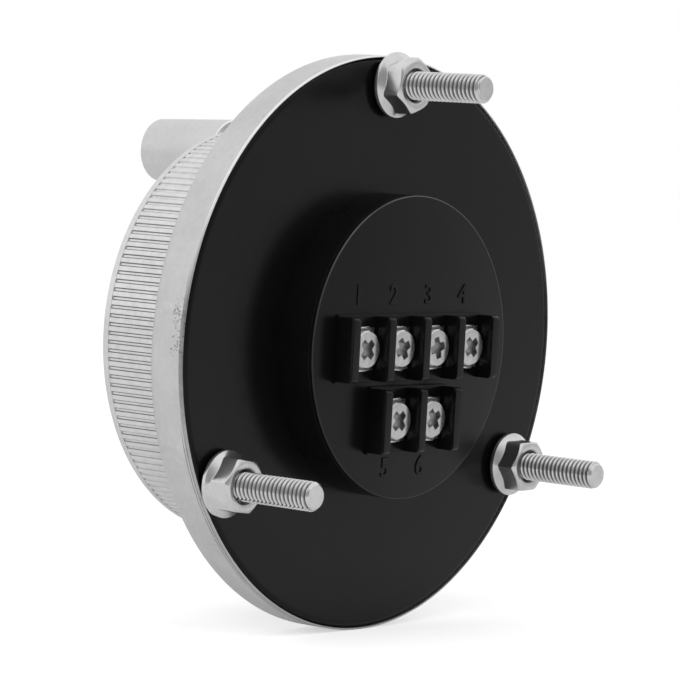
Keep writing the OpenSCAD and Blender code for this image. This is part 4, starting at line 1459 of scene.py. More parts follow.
@dataclass
class Flange(SubAssembly):
    """The round metal flange with its bearing tube and index mark."""

    radius: float = 40.0
    front: float = -6.3
    front_round: float = 1.6
    rim_in: float = 32.0
    web: float = -4.3
    tube_radius: float = 10.8
    tube_front: float = -15.5
    bearing_radius: float = 8.0
    ledge: float = 7.0
    bearing_width: float = 4.0
    lip: float = 39.75
    seat: float = -1.5
    chamfer: float = 0.15
    stud_reach: float = STUD_REACH
    stud_radius: float = 1.7725
    stud_root: float = -5.4
    mark_reach: float = 36.95
    mark: float = 1.6
    mark_depth: float = 0.2
    paint_gap: float = 0.06
    cutter_over: float = 1.0

    @classmethod
    def from_frame(cls, wardrobe: Wardrobe) -> "Flange":
        """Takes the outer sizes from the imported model."""
        low, high = span_of("flange_housing")
        return cls(wardrobe, radius=(high.x - low.x) / 2, tube_front=low.y)

    def _mark_outline(self, shrink: float = 0.0) -> list[Point]:
        """The index mark's triangle, a little smaller if asked."""
        half, reach = self.mark / 2 - shrink, self.mark_reach
        return [(0.0, reach - half), (half, reach + half), (-half, reach + half)]

    def _ring(self) -> bpy.types.Object:
        """Turns the flange with its tube.

        Returns:
            The flange without its holes and mark.
        """
        r = self.radius
        far = self.tube_front + self.bearing_width
        near = self.web - self.bearing_width
        return turned("flange_ring", [
            (self.bearing_radius, self.tube_front), (self.tube_radius, self.tube_front, 0.3),
            (self.tube_radius, self.front, 0.2), (r, self.front, self.front_round),
            (r, -self.chamfer, 0.04), (r - self.chamfer, 0.0, 0.04), (self.lip, 0.0, 0.03),
            (self.lip, self.seat), (self.rim_in, self.seat), (self.rim_in, self.web),
            (self.bearing_radius, self.web), (self.bearing_radius, near), (self.ledge, near),
            (self.ledge, far), (self.bearing_radius, far),
        ], count=288, steps=8)

    def build(self) -> None:
        """Makes the flange and the paint in its index mark."""
        body = self._ring()
        over, mark_floor = self.cutter_over, self.front + self.mark_depth
        bm = bmesh.new()
        slab(bm, self._mark_outline(), self.front - over, mark_floor, Along.Y)
        places = stud_places(self.stud_reach)
        holes = [drill(self.stud_radius, self.stud_root, over, place, count=32) for place in places]
        carve(body, [finish_mesh("mark_cutter", bm), *holes])
        self.settle(body, Body.HOUSING, "silver_anodised", "flange_housing")
        gap = self.paint_gap
        bm = bmesh.new()
        slab(bm, self._mark_outline(gap), self.front + gap, mark_floor, Along.Y, bevel=0.02)
        self.settle(finish_mesh("index_paint", bm), Body.HOUSING, "black_plastic", finish="mark_paint")


@dataclass
class RearCover(SubAssembly):
    """The black cover plate with its round boss."""

    radius: float = 39.65
    thickness: float = 1.5
    edge_width: float = 1.0
    edge_drop: float = 0.6
    edge_steps: int = 10
    boss: float = BOSS_RADIUS
    boss_in: float = 19.4
    boss_top: float = 5.55
    stud_reach: float = STUD_REACH
    stud_hole: float = 2.2
    hole_low: float = -4.0
    hole_high: float = 2.0

    @classmethod
    def from_frame(cls, wardrobe: Wardrobe) -> "RearCover":
        """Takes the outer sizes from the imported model."""
        low, high = span_of("rear_cover")
        return cls(wardrobe, radius=(high.x - low.x) / 2, thickness=-low.y, boss_top=high.y)

    def _rounding(self) -> list[Point]:
        """Draws the softly rounded outer edge.

        Returns:
            Its points, from the cover's side to its face.
        """
        points = []
        for i in range(self.edge_steps + 1):
            a = math.pi / 2 * i / self.edge_steps
            inward, down = self.edge_width * (1 - math.cos(a)), self.edge_drop * (1 - math.sin(a))
            points.append((self.radius - inward, -down))
        return points

    def build(self) -> None:
        """Makes the cover with its stud holes."""
        body = turned("cover_plate", [
            (self.boss_in, -self.thickness), (self.radius, -self.thickness), *self._rounding(),
            (self.boss, 0.0), (self.boss, self.boss_top, 0.05), (self.boss_in, self.boss_top),
        ], count=288, steps=8)
        places = stud_places(self.stud_reach)
        carve(body, [drill(self.stud_hole, self.hole_low, self.hole_high, place) for place in places])
        self.settle(body, Body.HOUSING, "black_plastic", "rear_cover", "cover_plastic")


@dataclass
class TerminalBoard(SubAssembly):
    """The lid of the boss with its two rows of barrier walls and numbers."""

    radius: float = BOSS_RADIUS
    low: float = 5.55
    face: float = LID_FACE
    spigot_out: float = 19.3
    spigot_in: float = 17.9
    spigot_low: float = 4.9
    pitch: float = TERMINAL_PITCH
    wall: float = 1.35
    wall_top: float = 9.6
    wall_length: float = 8.8
    wall_round: float = 0.6
    wall_edge: float = 0.12
    wall_sunk: float = 0.2
    slab_top: float = 6.7
    slab_over: float = 0.25
    slab_inset: float = 0.03
    slab_corner: float = 0.15
    slab_edge: float = 0.06
    slab_sunk: float = 0.3
    centre_x: float = TERMINAL_CENTRE
    post_clock: tuple[float, ...] = (45, 135, 262)
    post_reach: float = 16.2
    post_radius: float = 1.9
    post_bore: float = 1.0
    post_low: float = 4.0
    post_sunk: float = 0.2
    figure_height: float = 2.7
    figure_rise: float = 0.16
    figure_edge: float = 0.05
    figure_gap: float = 1.0
    upper_figure_gap: float = 1.4

    @classmethod
    def from_frame(cls, wardrobe: Wardrobe) -> "TerminalBoard":
        """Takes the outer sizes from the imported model."""
        low, high = span_of("terminal_lid")
        return cls(wardrobe, radius=(high.x - low.x) / 2, post_low=low.y, wall_top=high.y)

    def _row(self, bm: bmesh.types.BMesh, count: int, z: float) -> None:
        """Adds the slab and walls of one row.

        Args:
            bm: The mesh to add to.
            count: Number of terminals in the row.
            z: Height of the row's middle.
        """
        half, width = self.wall_length / 2, self.wall / 2
        x0 = self.centre_x - count / 2 * self.pitch
        x1 = x0 + count * self.pitch
        base = rectangle(
            x0 - width + self.slab_inset, x1 + width - self.slab_inset,
            z - half - self.slab_over, z + half + self.slab_over, self.slab_corner,
        )
        slab(bm, base, self.face - self.slab_sunk, self.slab_top, Along.Y, self.slab_edge)
        foot = self.face - self.wall_sunk
        side = rounded([
            (foot, z - half), (self.wall_top, z - half, self.wall_round),
            (self.wall_top, z + half, self.wall_round), (foot, z + half),
        ], steps=6)
        for i in range(count + 1):
            x = x0 + i * self.pitch
            slab(bm, side, x - width, x + width, Along.X, self.wall_edge)

    def _numbers(self) -> list[bpy.types.Object]:
        """Makes raised plain numbers, above the upper row and below the lower one.

        Returns:
            One number for each terminal.
        """
        made = []
        reach = self.wall_length / 2 + self.figure_height / 2
        right, up = Vector((-1, 0, 0)), Vector((0, 0, 1))
        for i, (x, z) in enumerate(terminal_places(self.centre_x, self.pitch)):
            upper = i < TERMINAL_ROWS[0][0]
            height = z + reach + self.upper_figure_gap if upper else z - reach - self.figure_gap
            frame = axes_frame(right, up, Vector((x, self.face, height)))
            made.append(figure(str(i + 1), self.figure_height, self.figure_rise, self.figure_edge, frame))
        return made

    def _posts(self) -> list[bpy.types.Object]:
        """Makes the posts under the lid that hold the circuit board.

        Returns:
            The posts.
        """
        top = self.low + self.post_sunk
        outline = [
            (self.post_bore, self.post_low), (self.post_radius, self.post_low, 0.1), (self.post_radius, top),
            (self.post_bore, top),
        ]
        places = [clock_place(self.post_reach, math.radians(clock)) for clock in self.post_clock]
        return [shift(turned("post", outline, count=40), place) for place in places]

    def build(self) -> None:
        """Makes the lid, its rows and its numbers."""
        disc = turned("lid_disc", [
            (0.0, self.low), (self.spigot_in, self.low), (self.spigot_in, self.spigot_low),
            (self.spigot_out, self.spigot_low), (self.spigot_out, self.low), (self.radius, self.low, 0.06),
            (self.radius, self.face, 0.16), (0.0, self.face),
        ], count=288)
        bm = bmesh.new()
        for count, z in TERMINAL_ROWS:
            self._row(bm, count, z)
        walls = finish_mesh("walls", bm)
        lid = join("terminal_board", [disc, walls, *self._posts(), *self._numbers()])
        self.settle(lid, Body.HOUSING, "black_plastic", "terminal_lid", "lid_plastic")


@dataclass
class TerminalFittings(SubAssembly):
    """Screws and clamp washers of the six terminals."""

    board: TerminalBoard
    head_radius: float = 2.6
    head_low: float = 7.5
    head_top: float = 8.4
    head_edge: float = 0.16
    head_under: float = 0.06
    thread_radius: float = 1.5
    screw_low: float = 4.6
    washer_low: float = 7.1
    washer_width: float = 5.57
    washer_length: float = 6.07
    washer_cut: float = 1.3
    washer_slip: float = 0.2
    recess: float = 3.2
    recess_width: float = 1.05
    recess_depth: float = 0.65
    recess_over: float = 0.3
    recess_floor_share: float = 0.82
    recess_floor_width_share: float = 0.85
    recess_corner_share: float = 1.25
    recess_turns: tuple[float, ...] = (45, 28, 15, 40, 45, 33)
    washer_turns: tuple[float, ...] = (2, -3, 3, -2, 3, -3)

    @classmethod
    def from_frame(cls, wardrobe: Wardrobe, board: TerminalBoard) -> "TerminalFittings":
        """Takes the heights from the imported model.

        Args:
            wardrobe: Where the finishes come from.
            board: The lid that the fittings sit on.

        Returns:
            The fittings, not built yet.
        """
        low, high = span_of("terminal_screws")
        washer_low, washer_high = span_of("clamp_washers")
        return cls(
            wardrobe, board, screw_low=low.y, head_top=high.y, head_low=washer_high.y, washer_low=washer_low.y
        )

    def _recess(self) -> bpy.types.Object:
        """Makes a cutter for a cross recess with tapering wings.

        Returns:
            The cutter on the Y axis.
        """
        bm = bmesh.new()
        floor, mouth = self.head_top - self.recess_depth, self.head_top + self.recess_over
        wide, long = self.recess_width / 2, self.recess / 2
        narrow, short = wide * self.recess_floor_width_share, long * self.recess_floor_share
        rows = []
        for level, half, arm in ((floor, narrow, short), (mouth, wide, long)):
            outline = []
            corner = half * self.recess_corner_share
            for quarter in range(4):
                turn = Matrix.Rotation(math.radians(90 * quarter), 2)
                for point in ((arm, -half), (arm, half), (corner, corner)):
                    spot = turn @ Vector(point)
                    outline.append(bm.verts.new((spot.x, level, spot.y)))
            rows.append(outline)
        bm.faces.new(rows[0])
        bm.faces.new(list(reversed(rows[1])))
        count = len(rows[0])
        for i in range(count):
            j = (i + 1) % count
            bm.faces.new((rows[0][i], rows[0][j], rows[1][j], rows[1][i]))
        return finish_mesh("recess_cutter", bm)

    def _screw(self, place: Point, turn: float) -> bpy.types.Object:
        """Makes one screw with a flat head.

        Args:
            place: Where it sits, as (x, z).
            turn: Angle of its recess in degrees.

        Returns:
            The screw.
        """
        r, low, top = self.head_radius, self.head_low, self.head_top
        edge, under = self.head_edge, self.head_under
        screw = turned("screw", [
            (0.0, self.screw_low), (self.thread_radius, self.screw_low, 0.2), (self.thread_radius, low),
            (r - under, low, 0.04), (r, low + under, 0.04), (r, top - edge, 0.06), (r - edge, top, 0.06),
            (0.0, top),
        ], count=72, steps=5)
        carve(screw, [self._recess()], crease=28.0)
        return shift(screw, place, turn=turn)

    def _washer(self, place: Point, turn: float) -> bpy.types.Object:
        """Makes one square clamp washer with two cut and two softened corners.

        Args:
            place: Where its screw sits, as (x, z).
            turn: Its angle in degrees.

        Returns:
            The washer, slipped a little to one side.
        """
        w, h, cut = self.washer_width / 2, self.washer_length / 2, self.washer_cut
        outline = rounded([
            (-w, cut - h, 0.3), (cut - w, -h, 0.3), (w, -h, 0.35), (w, h, 0.35), (cut - w, h, 0.3),
            (-w, h - cut, 0.3),
        ])
        bm = bmesh.new()
        slab(bm, outline, 0.0, self.head_low - self.washer_low, Along.Y, bevel=0.07)
        x, z = place
        return shift(finish_mesh("washer", bm), (x + self.washer_slip, z), self.washer_low, turn)

    def build(self) -> None:
        """Makes the screws and the washers."""
        places = terminal_places(self.board.centre_x, self.board.pitch)
        screws = [self._screw(place, turn) for place, turn in zip(places, self.recess_turns)]
        screw_set = join("terminal_screw_set", screws, crease=28.0)
        self.settle(screw_set, Body.HOUSING, "plated_steel", "terminal_screws", "screw_steel")
        washers = [self._washer(place, turn) for place, turn in zip(places, self.washer_turns)]
        washer_set = join("clamp_washer_set", washers)
        self.settle(washer_set, Body.HOUSING, "plated_steel", "clamp_washers", "washer_steel")


@dataclass
class MountingHardware(SubAssembly):
    """The three threaded studs and their flange nuts."""

    reach: float = STUD_REACH
    stud_radius: float = 2.0
    stud_root: float = -5.4
    stud_tip: float = 16.7
    stud_shank: float = 1.77
    shank_top: float = -1.5
    stud_segments: int = 56
    pitch: float = 0.7
    rows_per_pitch: int = 10
    thread_depth: float = 0.4
    thread_crest: float = 0.12
    thread_flank: float = 0.74
    thread_turn: float = 1.9
    tip_chamfer: float = 0.45
    nut_flats: float = 7.0
    nut_seat: float = 0.5
    nut_height: float = 4.4
    nut_lower: float = 0.2
    nut_flange: float = 4.55
    nut_rim: float = 0.85
    nut_foot: float = 0.3
    nut_cone: float = 0.75
    nut_cone_share: float = 0.97
    nut_corner: float = 0.55
    nut_bevel: float = 32.0
    nut_bevel_width: float = 0.25
    nut_bore: float = 1.78
    nut_sink: float = 2.57
    nut_turns: tuple[float, float, float] = (38, -1, 8)
    facet_turns: tuple[float, ...] = (
        0, 1.2, 2.4, 3.5, 4.4, 9, 13, 18, 24, 30, 36, 42, 47, 51, 55.6, 56.5, 57.6, 58.8,
    )

    @classmethod
    def from_frame(cls, wardrobe: Wardrobe) -> "MountingHardware":
        """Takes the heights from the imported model, the nuts a little lower.

        Args:
            wardrobe: Where the finishes come from.

        Returns:
            The hardware, not built yet.
        """
        low, high = span_of("mounting_studs")
        nut_low, nut_high = span_of("flange_nuts")
        height = nut_high.y - nut_low.y - cls.nut_lower
        return cls(wardrobe, stud_root=low.y, stud_tip=high.y, nut_seat=nut_low.y, nut_height=height)

    def _stud_radius_at(self, row: int, level: float) -> float:
        """Finds the stud's radius on a row of its thread.

        Args:
            row: Number of the row, which gives the place in the thread's profile.
            level: The row's height at one angle.

        Returns:
            The radius, with the shank and the bevels at both ends.
        """
        from_crest = abs(row / self.rows_per_pitch % 1.0 - 0.5) * 2
        depth = self.thread_depth * min(max((from_crest - self.thread_crest) / self.thread_flank, 0.0), 1.0)
        inner = self.stud_radius - self.tip_chamfer
        tip = inner + min(self.stud_tip - level, self.tip_chamfer)
        root = inner + min(level - self.stud_root, self.tip_chamfer)
        shank = self.stud_shank if level < self.shank_top else self.stud_radius
        return min(self.stud_radius - depth, tip, root, shank)

    def _stud(self, turn: float) -> bpy.types.Object:
        """Makes one stud with a real helical thread and a bevelled tip.

        Args:
            turn: Where the thread starts, in radians.

        Returns:
            The stud on the Y axis.
        """
        count, per_pitch = self.stud_segments, self.rows_per_pitch
        angles = turn_angles(count)
        low, high = self.stud_root, self.stud_tip
        rows = int((high - low) / self.pitch * per_pitch) + per_pitch
        rings: list[Ring] = [[(0.0, low)] * count]
        for row in range(rows + 1):
            ring = []
            for a in angles:
                lead = (a + turn) / (2 * math.pi) * self.pitch
                y = low - self.pitch + row * self.pitch / per_pitch + lead % self.pitch
                level = min(max(y, low), high)
                ring.append((self._stud_radius_at(row, level), level))
            rings.append(ring)
        rings.append([(0.0, high)] * count)
        bm = bmesh.new()
        loft(bm, rings, angles, closed=False)
        bmesh.ops.dissolve_degenerate(bm, edges=bm.edges, dist=1e-4)
        return finish_mesh("stud", bm, crease=40.0)

    def _hexagon_radius(self, angle: float) -> float:
        """Finds the nut's radius at an angle.

        Args:
            angle: The angle in radians.

        Returns:
            Radius of the hexagon with rounded corners.
        """
        flat, tight, spread = self.nut_flats / 2, self.nut_corner, math.radians(30)
        centre = (flat - tight) / math.cos(spread)
        kink = math.atan((flat - tight) * math.tan(spread) / flat)
        off = abs((angle + math.radians(90)) % (2 * spread) - spread)
        if off < kink:
            return flat / math.cos(off)
        return centre * math.cos(spread - off) + math.sqrt(tight**2 - (centre * math.sin(spread - off)) ** 2)

    def _nut(self) -> bpy.types.Object:
        """Makes one hexagon nut with a conical flange, bevelled corners and a countersunk bore.

        Returns:
            The nut on the Y axis.
        """
        flat, height = self.nut_flats / 2, self.nut_height
        turns = {round(math.radians(60 * k + d), 9) for k in range(6) for d in self.facet_turns}
        angles = sorted(turns)
        hexagon = [self._hexagon_radius(a) for a in angles]
        start = flat - self.nut_bevel_width
        slope = math.tan(math.radians(self.nut_bevel))
        base, rim, foot = self.nut_flange, self.nut_rim, self.nut_foot
        bore, sink = self.nut_bore, self.nut_sink

        def around(r: float, y: float) -> Ring:
            """Round ring of one radius and height."""
            return [(r, y)] * len(angles)

        def facets(inset: float, level: Callable[[float], float]) -> Ring:
            """Ring on the hexagon at a height that depends on the radius."""
            return [(r - inset, level(r)) for r in hexagon]

        def cone(r: float) -> float:
            """Height of the flange's cone at a radius."""
            return rim + (base - r) / (base - flat * self.nut_cone_share) * self.nut_cone

        def top(r: float) -> float:
            """Height of the bevelled top at a radius."""
            return height - max(r - start, 0.0) * slope

        inside = [around(bore, 0.05), around(bore, height - (sink - bore)), around(sink, height - 0.02)]
        face = [around(sink + 0.06, height), around(start - 0.1, height), around(start, height - 0.01)]
        sides = [
            facets(0.10, lambda r: top(r - 0.10)), facets(0.03, lambda r: top(r) - 0.03),
            facets(0.0, lambda r: top(r) - 0.12), facets(0.0, lambda r: cone(r) + 0.12),
            facets(-0.02, lambda r: cone(r) + 0.02), facets(-0.05, lambda r: cone(r + 0.05)),
        ]
        flange = [
            around(base - 0.12, rim + 0.02), around(base - 0.03, rim - 0.05), around(base, rim - 0.16),
            around(base, foot + 0.06), around(base - 0.06, foot - 0.04), around(base - foot + 0.06, 0.05),
        ]
        seat = [around(base - foot - 0.06, 0.0), around(bore + 0.3, 0.0)]
        bm = bmesh.new()
        loft(bm, [*inside, *face, *sides, *flange, *seat], angles, closed=True)
        return finish_mesh("nut", bm, crease=30.0)

    def build(self) -> None:
        """Makes the studs and nuts."""
        studs, nuts = [], []
        for i, (place, turn) in enumerate(zip(stud_places(self.reach), self.nut_turns)):
            studs.append(shift(self._stud(self.thread_turn * i), place))
            nuts.append(shift(self._nut(), place, self.nut_seat, -turn))
        stud_set = join("stud_set", studs, crease=40.0)
        self.settle(stud_set, Body.HOUSING, "plated_steel", "mounting_studs", "stud_steel")
        nut_set = join("flange_nut_set", nuts, crease=30.0)
        self.settle(nut_set, Body.HOUSING, "plated_steel", "flange_nuts", "nut_steel")


@dataclass
class HandWheel(SubAssembly):
    """The ribbed wheel with its dished front and its cap."""

    radius: float = 28.9
    front: float = -25.0
    back: float = -7.6
    ribs: int = 150
    rib_tip: float = RIB_TIP
    rib_root: float = RIB_ROOT
    core: float = 28.45
    rib_share: float = 0.54
    rib_wall: float = 0.15
    rib_soft: float = 0.03
    rib_crown: float = 0.02
    rib_sunk: float = 0.3
    rib_over: float = 0.02
    band: float = 1.1
    edge: float = 0.3
    dish_radius: float = 22.0
    dish_draft: float = 1.6
    web_front: float = -21.8
    web_back: float = -19.3
    cavity: float = 24.3
    hub: float = 9.0
    hub_front: float = 8.6
    hub_back: float = -16.3
    nose: float = 5.2
    nose_back: float = -15.5
    pocket: float = 5.2
    pocket_floor: float = -21.6
    cap_seat: float = -24.0
    bore: float = 4.0
    cap_radius: float = 7.6
    cap_thickness: float = 0.8
    cap_groove: tuple[float, float, float] = (1.4, 1.2, 0.9)
    cap_groove_depth: float = 0.12
    cap_spigot_gap: float = 0.1
    cap_spigot_wall: float = 0.9
    cap_spigot: float = 0.6
    handle: Point = (2.716, 25.003)
    handle_hole: float = 1.5
    hole_depth: float = 7.0
    boss_radius: float = 3.2
    boss_depth: float = 8.5
    boss_sunk: float = 0.5

    @classmethod
    def from_frame(cls, wardrobe: Wardrobe, handle: Point) -> "HandWheel":
        """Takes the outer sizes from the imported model.

        Args:
            wardrobe: Where the finishes come from.
            handle: Place of the crank handle's axis as (x, z).

        Returns:
            The wheel, not built yet.
        """
        low, high = span_of("handwheel")
        cap_low, cap_high = span_of("hub_cap")
        return cls(
            wardrobe, radius=(high.x - low.x) / 2, front=low.y, nose_back=high.y,
            cap_radius=(cap_high.x - cap_low.x) / 2, handle=handle,
        )

    def _body(self) -> bpy.types.Object:
        """Turns the wheel and bores the hole of the handle's screw.

        Returns:
            The wheel without its ribs.
        """
        r, edge = self.radius, self.edge
        body = turned("wheel_body", [
            (self.bore, self.pocket_floor), (self.pocket, self.pocket_floor),
            (self.pocket, self.cap_seat, 0.1), (self.hub_front, self.cap_seat, edge),
            (self.hub_front, self.web_front, 0.5), (self.dish_radius - self.dish_draft, self.web_front, 0.6),
            (self.dish_radius, self.front, 0.25),
            (r, self.front, edge), (r, self.front + self.band, 0.06), (self.core, self.front + self.band),
            (self.core, self.back - self.band), (r, self.back - self.band, 0.06), (r, self.back, edge),
            (self.cavity, self.back, 0.2), (self.cavity, self.web_back, 0.8), (self.hub, self.web_back, 0.8),
            (self.hub, self.hub_back, 0.2), (self.nose, self.hub_back), (self.nose, self.nose_back, 0.1),
            (self.bore, self.nose_back),
        ], count=256, steps=5)
        carve(body, [drill(self.handle_hole, self.front - 1, self.front + self.hole_depth, self.handle)])
        return body

    def _boss(self) -> bpy.types.Object:
        """Turns the boss behind the web that the handle's screw goes into.

        Returns:
            The boss at the handle's place.
        """
        low, high = self.web_back - self.boss_sunk, self.front + self.boss_depth
        boss = turned("boss", [
            (self.handle_hole, low), (self.boss_radius, low), (self.boss_radius, high, 0.2),
            (self.handle_hole, high),
        ], count=48)
        return shift(boss, self.handle)

    def _grip(self) -> bpy.types.Object:
        """Makes the ring of straight ribs round the wheel.

        Returns:
            The ribs, sunk a little in the wheel's core.
        """
        pitch = 2 * math.pi / self.ribs
        half = pitch * self.rib_share / 2
        soft, wall = self.rib_soft / self.radius, self.rib_wall / self.radius
        tip, root, shoulder = self.rib_tip, self.rib_root, self.rib_tip - self.rib_crown
        profile = [
            (-half - wall, root), (-half, shoulder), (-half + soft, tip), (0.0, tip),
            (half - soft, tip), (half, shoulder), (half + wall, root), (pitch / 2, root),
        ]
        angles, radii = [], []
        for i in range(self.ribs):
            for turn, r in profile:
                angles.append(i * pitch + turn)
                radii.append(r)
        low, high = self.front + self.band - self.rib_over, self.back - self.band + self.rib_over
        sunk = [self.core - self.rib_sunk] * len(angles)
        sections = ((sunk, low), (radii, low), (radii, high), (sunk, high))
        bm = bmesh.new()
        loft(bm, [[(r, y) for r in section] for section, y in sections], angles, closed=True)
        return finish_mesh("wheel_grip", bm, crease=28.0)

    def _cap(self) -> bpy.types.Object:
        """Turns the cap with a fine groove in its face and a spigot behind.

        Returns:
            The cap.
        """
        r, seat, face = self.cap_radius, self.cap_seat, self.cap_seat - self.cap_thickness
        inner, middle, outer = (r - v for v in self.cap_groove)
        spigot = self.pocket - self.cap_spigot_gap
        spigot_in, spigot_end = spigot - self.cap_spigot_wall, seat + self.cap_spigot
        return turned("wheel_cap", [
            (0.0, face), (inner, face, 0.3), (middle, face + self.cap_groove_depth, 0.3), (outer, face, 0.1),
            (r, face, 0.3), (r, seat, 0.05), (spigot, seat), (spigot, spigot_end, 0.1),
            (spigot_in, spigot_end, 0.1), (spigot_in, seat), (0.0, seat),
        ], count=128)

    def build(self) -> None:
        """Makes the wheel, its ribs and its cap."""
        wheel = join("wheel_turning", [self._body(), self._boss()])
        self.settle(wheel, Body.ROTOR, "turned_aluminium", "handwheel")
        self.settle(self._grip(), Body.ROTOR, "turned_aluminium")
        self.settle(self._cap(), Body.ROTOR, "turned_aluminium", "hub_cap")


@dataclass
class Dial(SubAssembly):
    """The black dial ring behind the wheel, with its scale and numbers."""

    radius: float = 35.5
    bore: float = 12.0
    front: float = -7.6
    back: float = -6.6
    number_reach: float = 30.9
    number_height: float = 1.7
    number_rise: float = 0.03
    number_edge: float = 0.01
    screw_clock: tuple[float, ...] = (60, 180, 300)
    screw_reach: float = 26.4
    screw_bore: float = 1.0
    screw_sink: float = 1.8
    sink_depth: float = 0.8
    sink_rise: float = 0.6
    sink_spread: float = 0.1
    sink_low: float = -9.0

    @classmethod
    def from_frame(cls, wardrobe: Wardrobe) -> "Dial":
        """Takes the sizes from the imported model."""
        low, high = span_of("dial_ring")
        return cls(wardrobe, radius=(high.x - low.x) / 2, front=low.y, back=high.y)

    def _sink(self, clock: float) -> bpy.types.Object:
        """Makes a cutter for one countersunk screw hole.

        Args:
            clock: The hole's angle in degrees, from straight up towards +X.

        Returns:
            The cutter.
        """
        low, high = self.sink_low, self.back + self.sink_rise
        outline = [
            (0, low), (self.screw_bore, low), (self.screw_bore, self.back - self.sink_depth),
            (self.screw_sink, self.back), (self.screw_sink + self.sink_spread, high), (0, high),
        ]
        return shift(turned("sink", outline, count=40), clock_place(self.screw_reach, math.radians(clock)))

    def _numbers(self) -> bpy.types.Object:
        """Makes the numbers 0 to 90 round the scale.

        Returns:
            The numbers as one object.
        """
        numbers = []
        for tens, a in enumerate(turn_angles(10)):
            up = Vector((math.sin(a), 0, math.cos(a)))
            right = Vector((math.cos(a), 0, -math.sin(a)))
            frame = axes_frame(right, up, up * self.number_reach + Vector((0, self.front, 0)))
            text = str(tens * 10)
            numbers.append(figure(text, self.number_height, self.number_rise, self.number_edge, frame))
        return join("dial_numbers", numbers)

    def build(self) -> None:
        """Makes the ring and its numbers."""
        ring = turned("dial_plate", [
            (self.bore, self.front), (self.radius, self.front, 0.25), (self.radius, self.back, 0.08),
            (self.bore, self.back),
        ], count=256, steps=5)
        carve(ring, [self._sink(clock) for clock in self.screw_clock])
        self.settle(ring, Body.ROTOR, "black_anodised", "dial_ring")
        self.settle(self._numbers(), Body.ROTOR, "black_anodised", finish="scale_paint")


@dataclass
class CrankHandle(SubAssembly):
    """The tapered crank handle with its plug."""

    axis: Point
    foot: float = -25.4
    tip: float = -39.7
    foot_radius: float = 5.0
    tip_radius: float = 4.5
    bore: float = 2.05
    well: float = 3.5
    ledge: float = -36.5
    plug_low: float = -39.5
    plug_high: float = -38.7
    plug_gap: float = 0.03
    edge: float = 0.3

    @classmethod
    def from_frame(cls, wardrobe: Wardrobe, axis: Point) -> "CrankHandle":
        """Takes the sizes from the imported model.

        Args:
            wardrobe: Where the finishes come from.
            axis: Place of the handle's axis as (x, z).

        Returns:
            The handle, not built yet.
        """
        low, high = span_of("crank_handle")
        plug_low, plug_high = span_of("handle_plug")
        return cls(
            wardrobe, axis, foot=high.y, tip=low.y, foot_radius=(high.x - low.x) / 2,
            plug_low=plug_low.y, plug_high=plug_high.y,
        )

    def build(self) -> None:
        """Makes the handle and the plug in its tip."""
        handle = turned("handle_grip", [
            (self.bore, self.foot), (self.foot_radius, self.foot, self.edge),
            (self.tip_radius, self.tip, self.edge), (self.well, self.tip, 0.08), (self.well, self.ledge),
            (self.bore, self.ledge),
        ], count=128, steps=6)
        plug_radius = self.well - self.plug_gap
        plug = turned("handle_tip_plug", [
            (0.0, self.plug_low), (plug_radius, self.plug_low, 0.15), (plug_radius, self.plug_high),
            (0.0, self.plug_high),
        ], count=96)
        for piece, node in ((handle, "crank_handle"), (plug, "handle_plug")):
            self.settle(shift(piece, self.axis), Body.HANDLE, "turned_aluminium", node, "handle_aluminium")


@dataclass
class InnerWorks(SubAssembly):
    """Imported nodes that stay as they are: inner works, terminal plates and small fasteners."""

    slots: dict[str, str]
    nodes: dict[str, bpy.types.Object]

    @classmethod
    def from_frame(cls, wardrobe: Wardrobe, frame: dict) -> "InnerWorks":
        """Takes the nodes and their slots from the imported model.

        Args:
            wardrobe: Where the finishes come from.

        Returns:
            The nodes, not dressed yet.
        """
        slots = {row["node"]: row["material_slot"] for row in frame["record"]["subparts"]}
        return cls(wardrobe, slots, frame["nodes"])

    def build(self) -> None:
        """Gives each node that no piece stands for the finish of its slot."""
        for name, obj in self.nodes.items():
            if not obj.hide_render:
                self.wardrobe.dress(obj, self.slots[name])
                LOG.info("%s: packed node in %s", name, self.slots[name])


# -------------------------------------------------------------------- studio


@dataclass(frozen=True)
class SoftLamp:
    """A square soft lamp that looks at the object and isn't mirrored in it; lengths are in metres."""

    name: str
    towards: tuple[float, float, float]
    size: float
    power: float
    reach: float

    def build(self) -> None:
        """Hangs the lamp."""
        data = bpy.data.lights.new(self.name, "AREA")
        data.shape, data.size, data.energy = "SQUARE", self.size, self.power
        towards = Vector(self.towards)
        lamp = new_object(self.name, data)
        lamp.location = towards.normalized() * self.reach
        lamp.rotation_mode = "QUATERNION"
        lamp.rotation_quaternion = towards.to_track_quat("Z", "Y")
        lamp.visible_glossy = False


@dataclass(frozen=True)
class DimSide:
    """A side of the white surroundings that shows dimmer in shiny surfaces."""

    towards: tuple[float, float, float]
    share: float


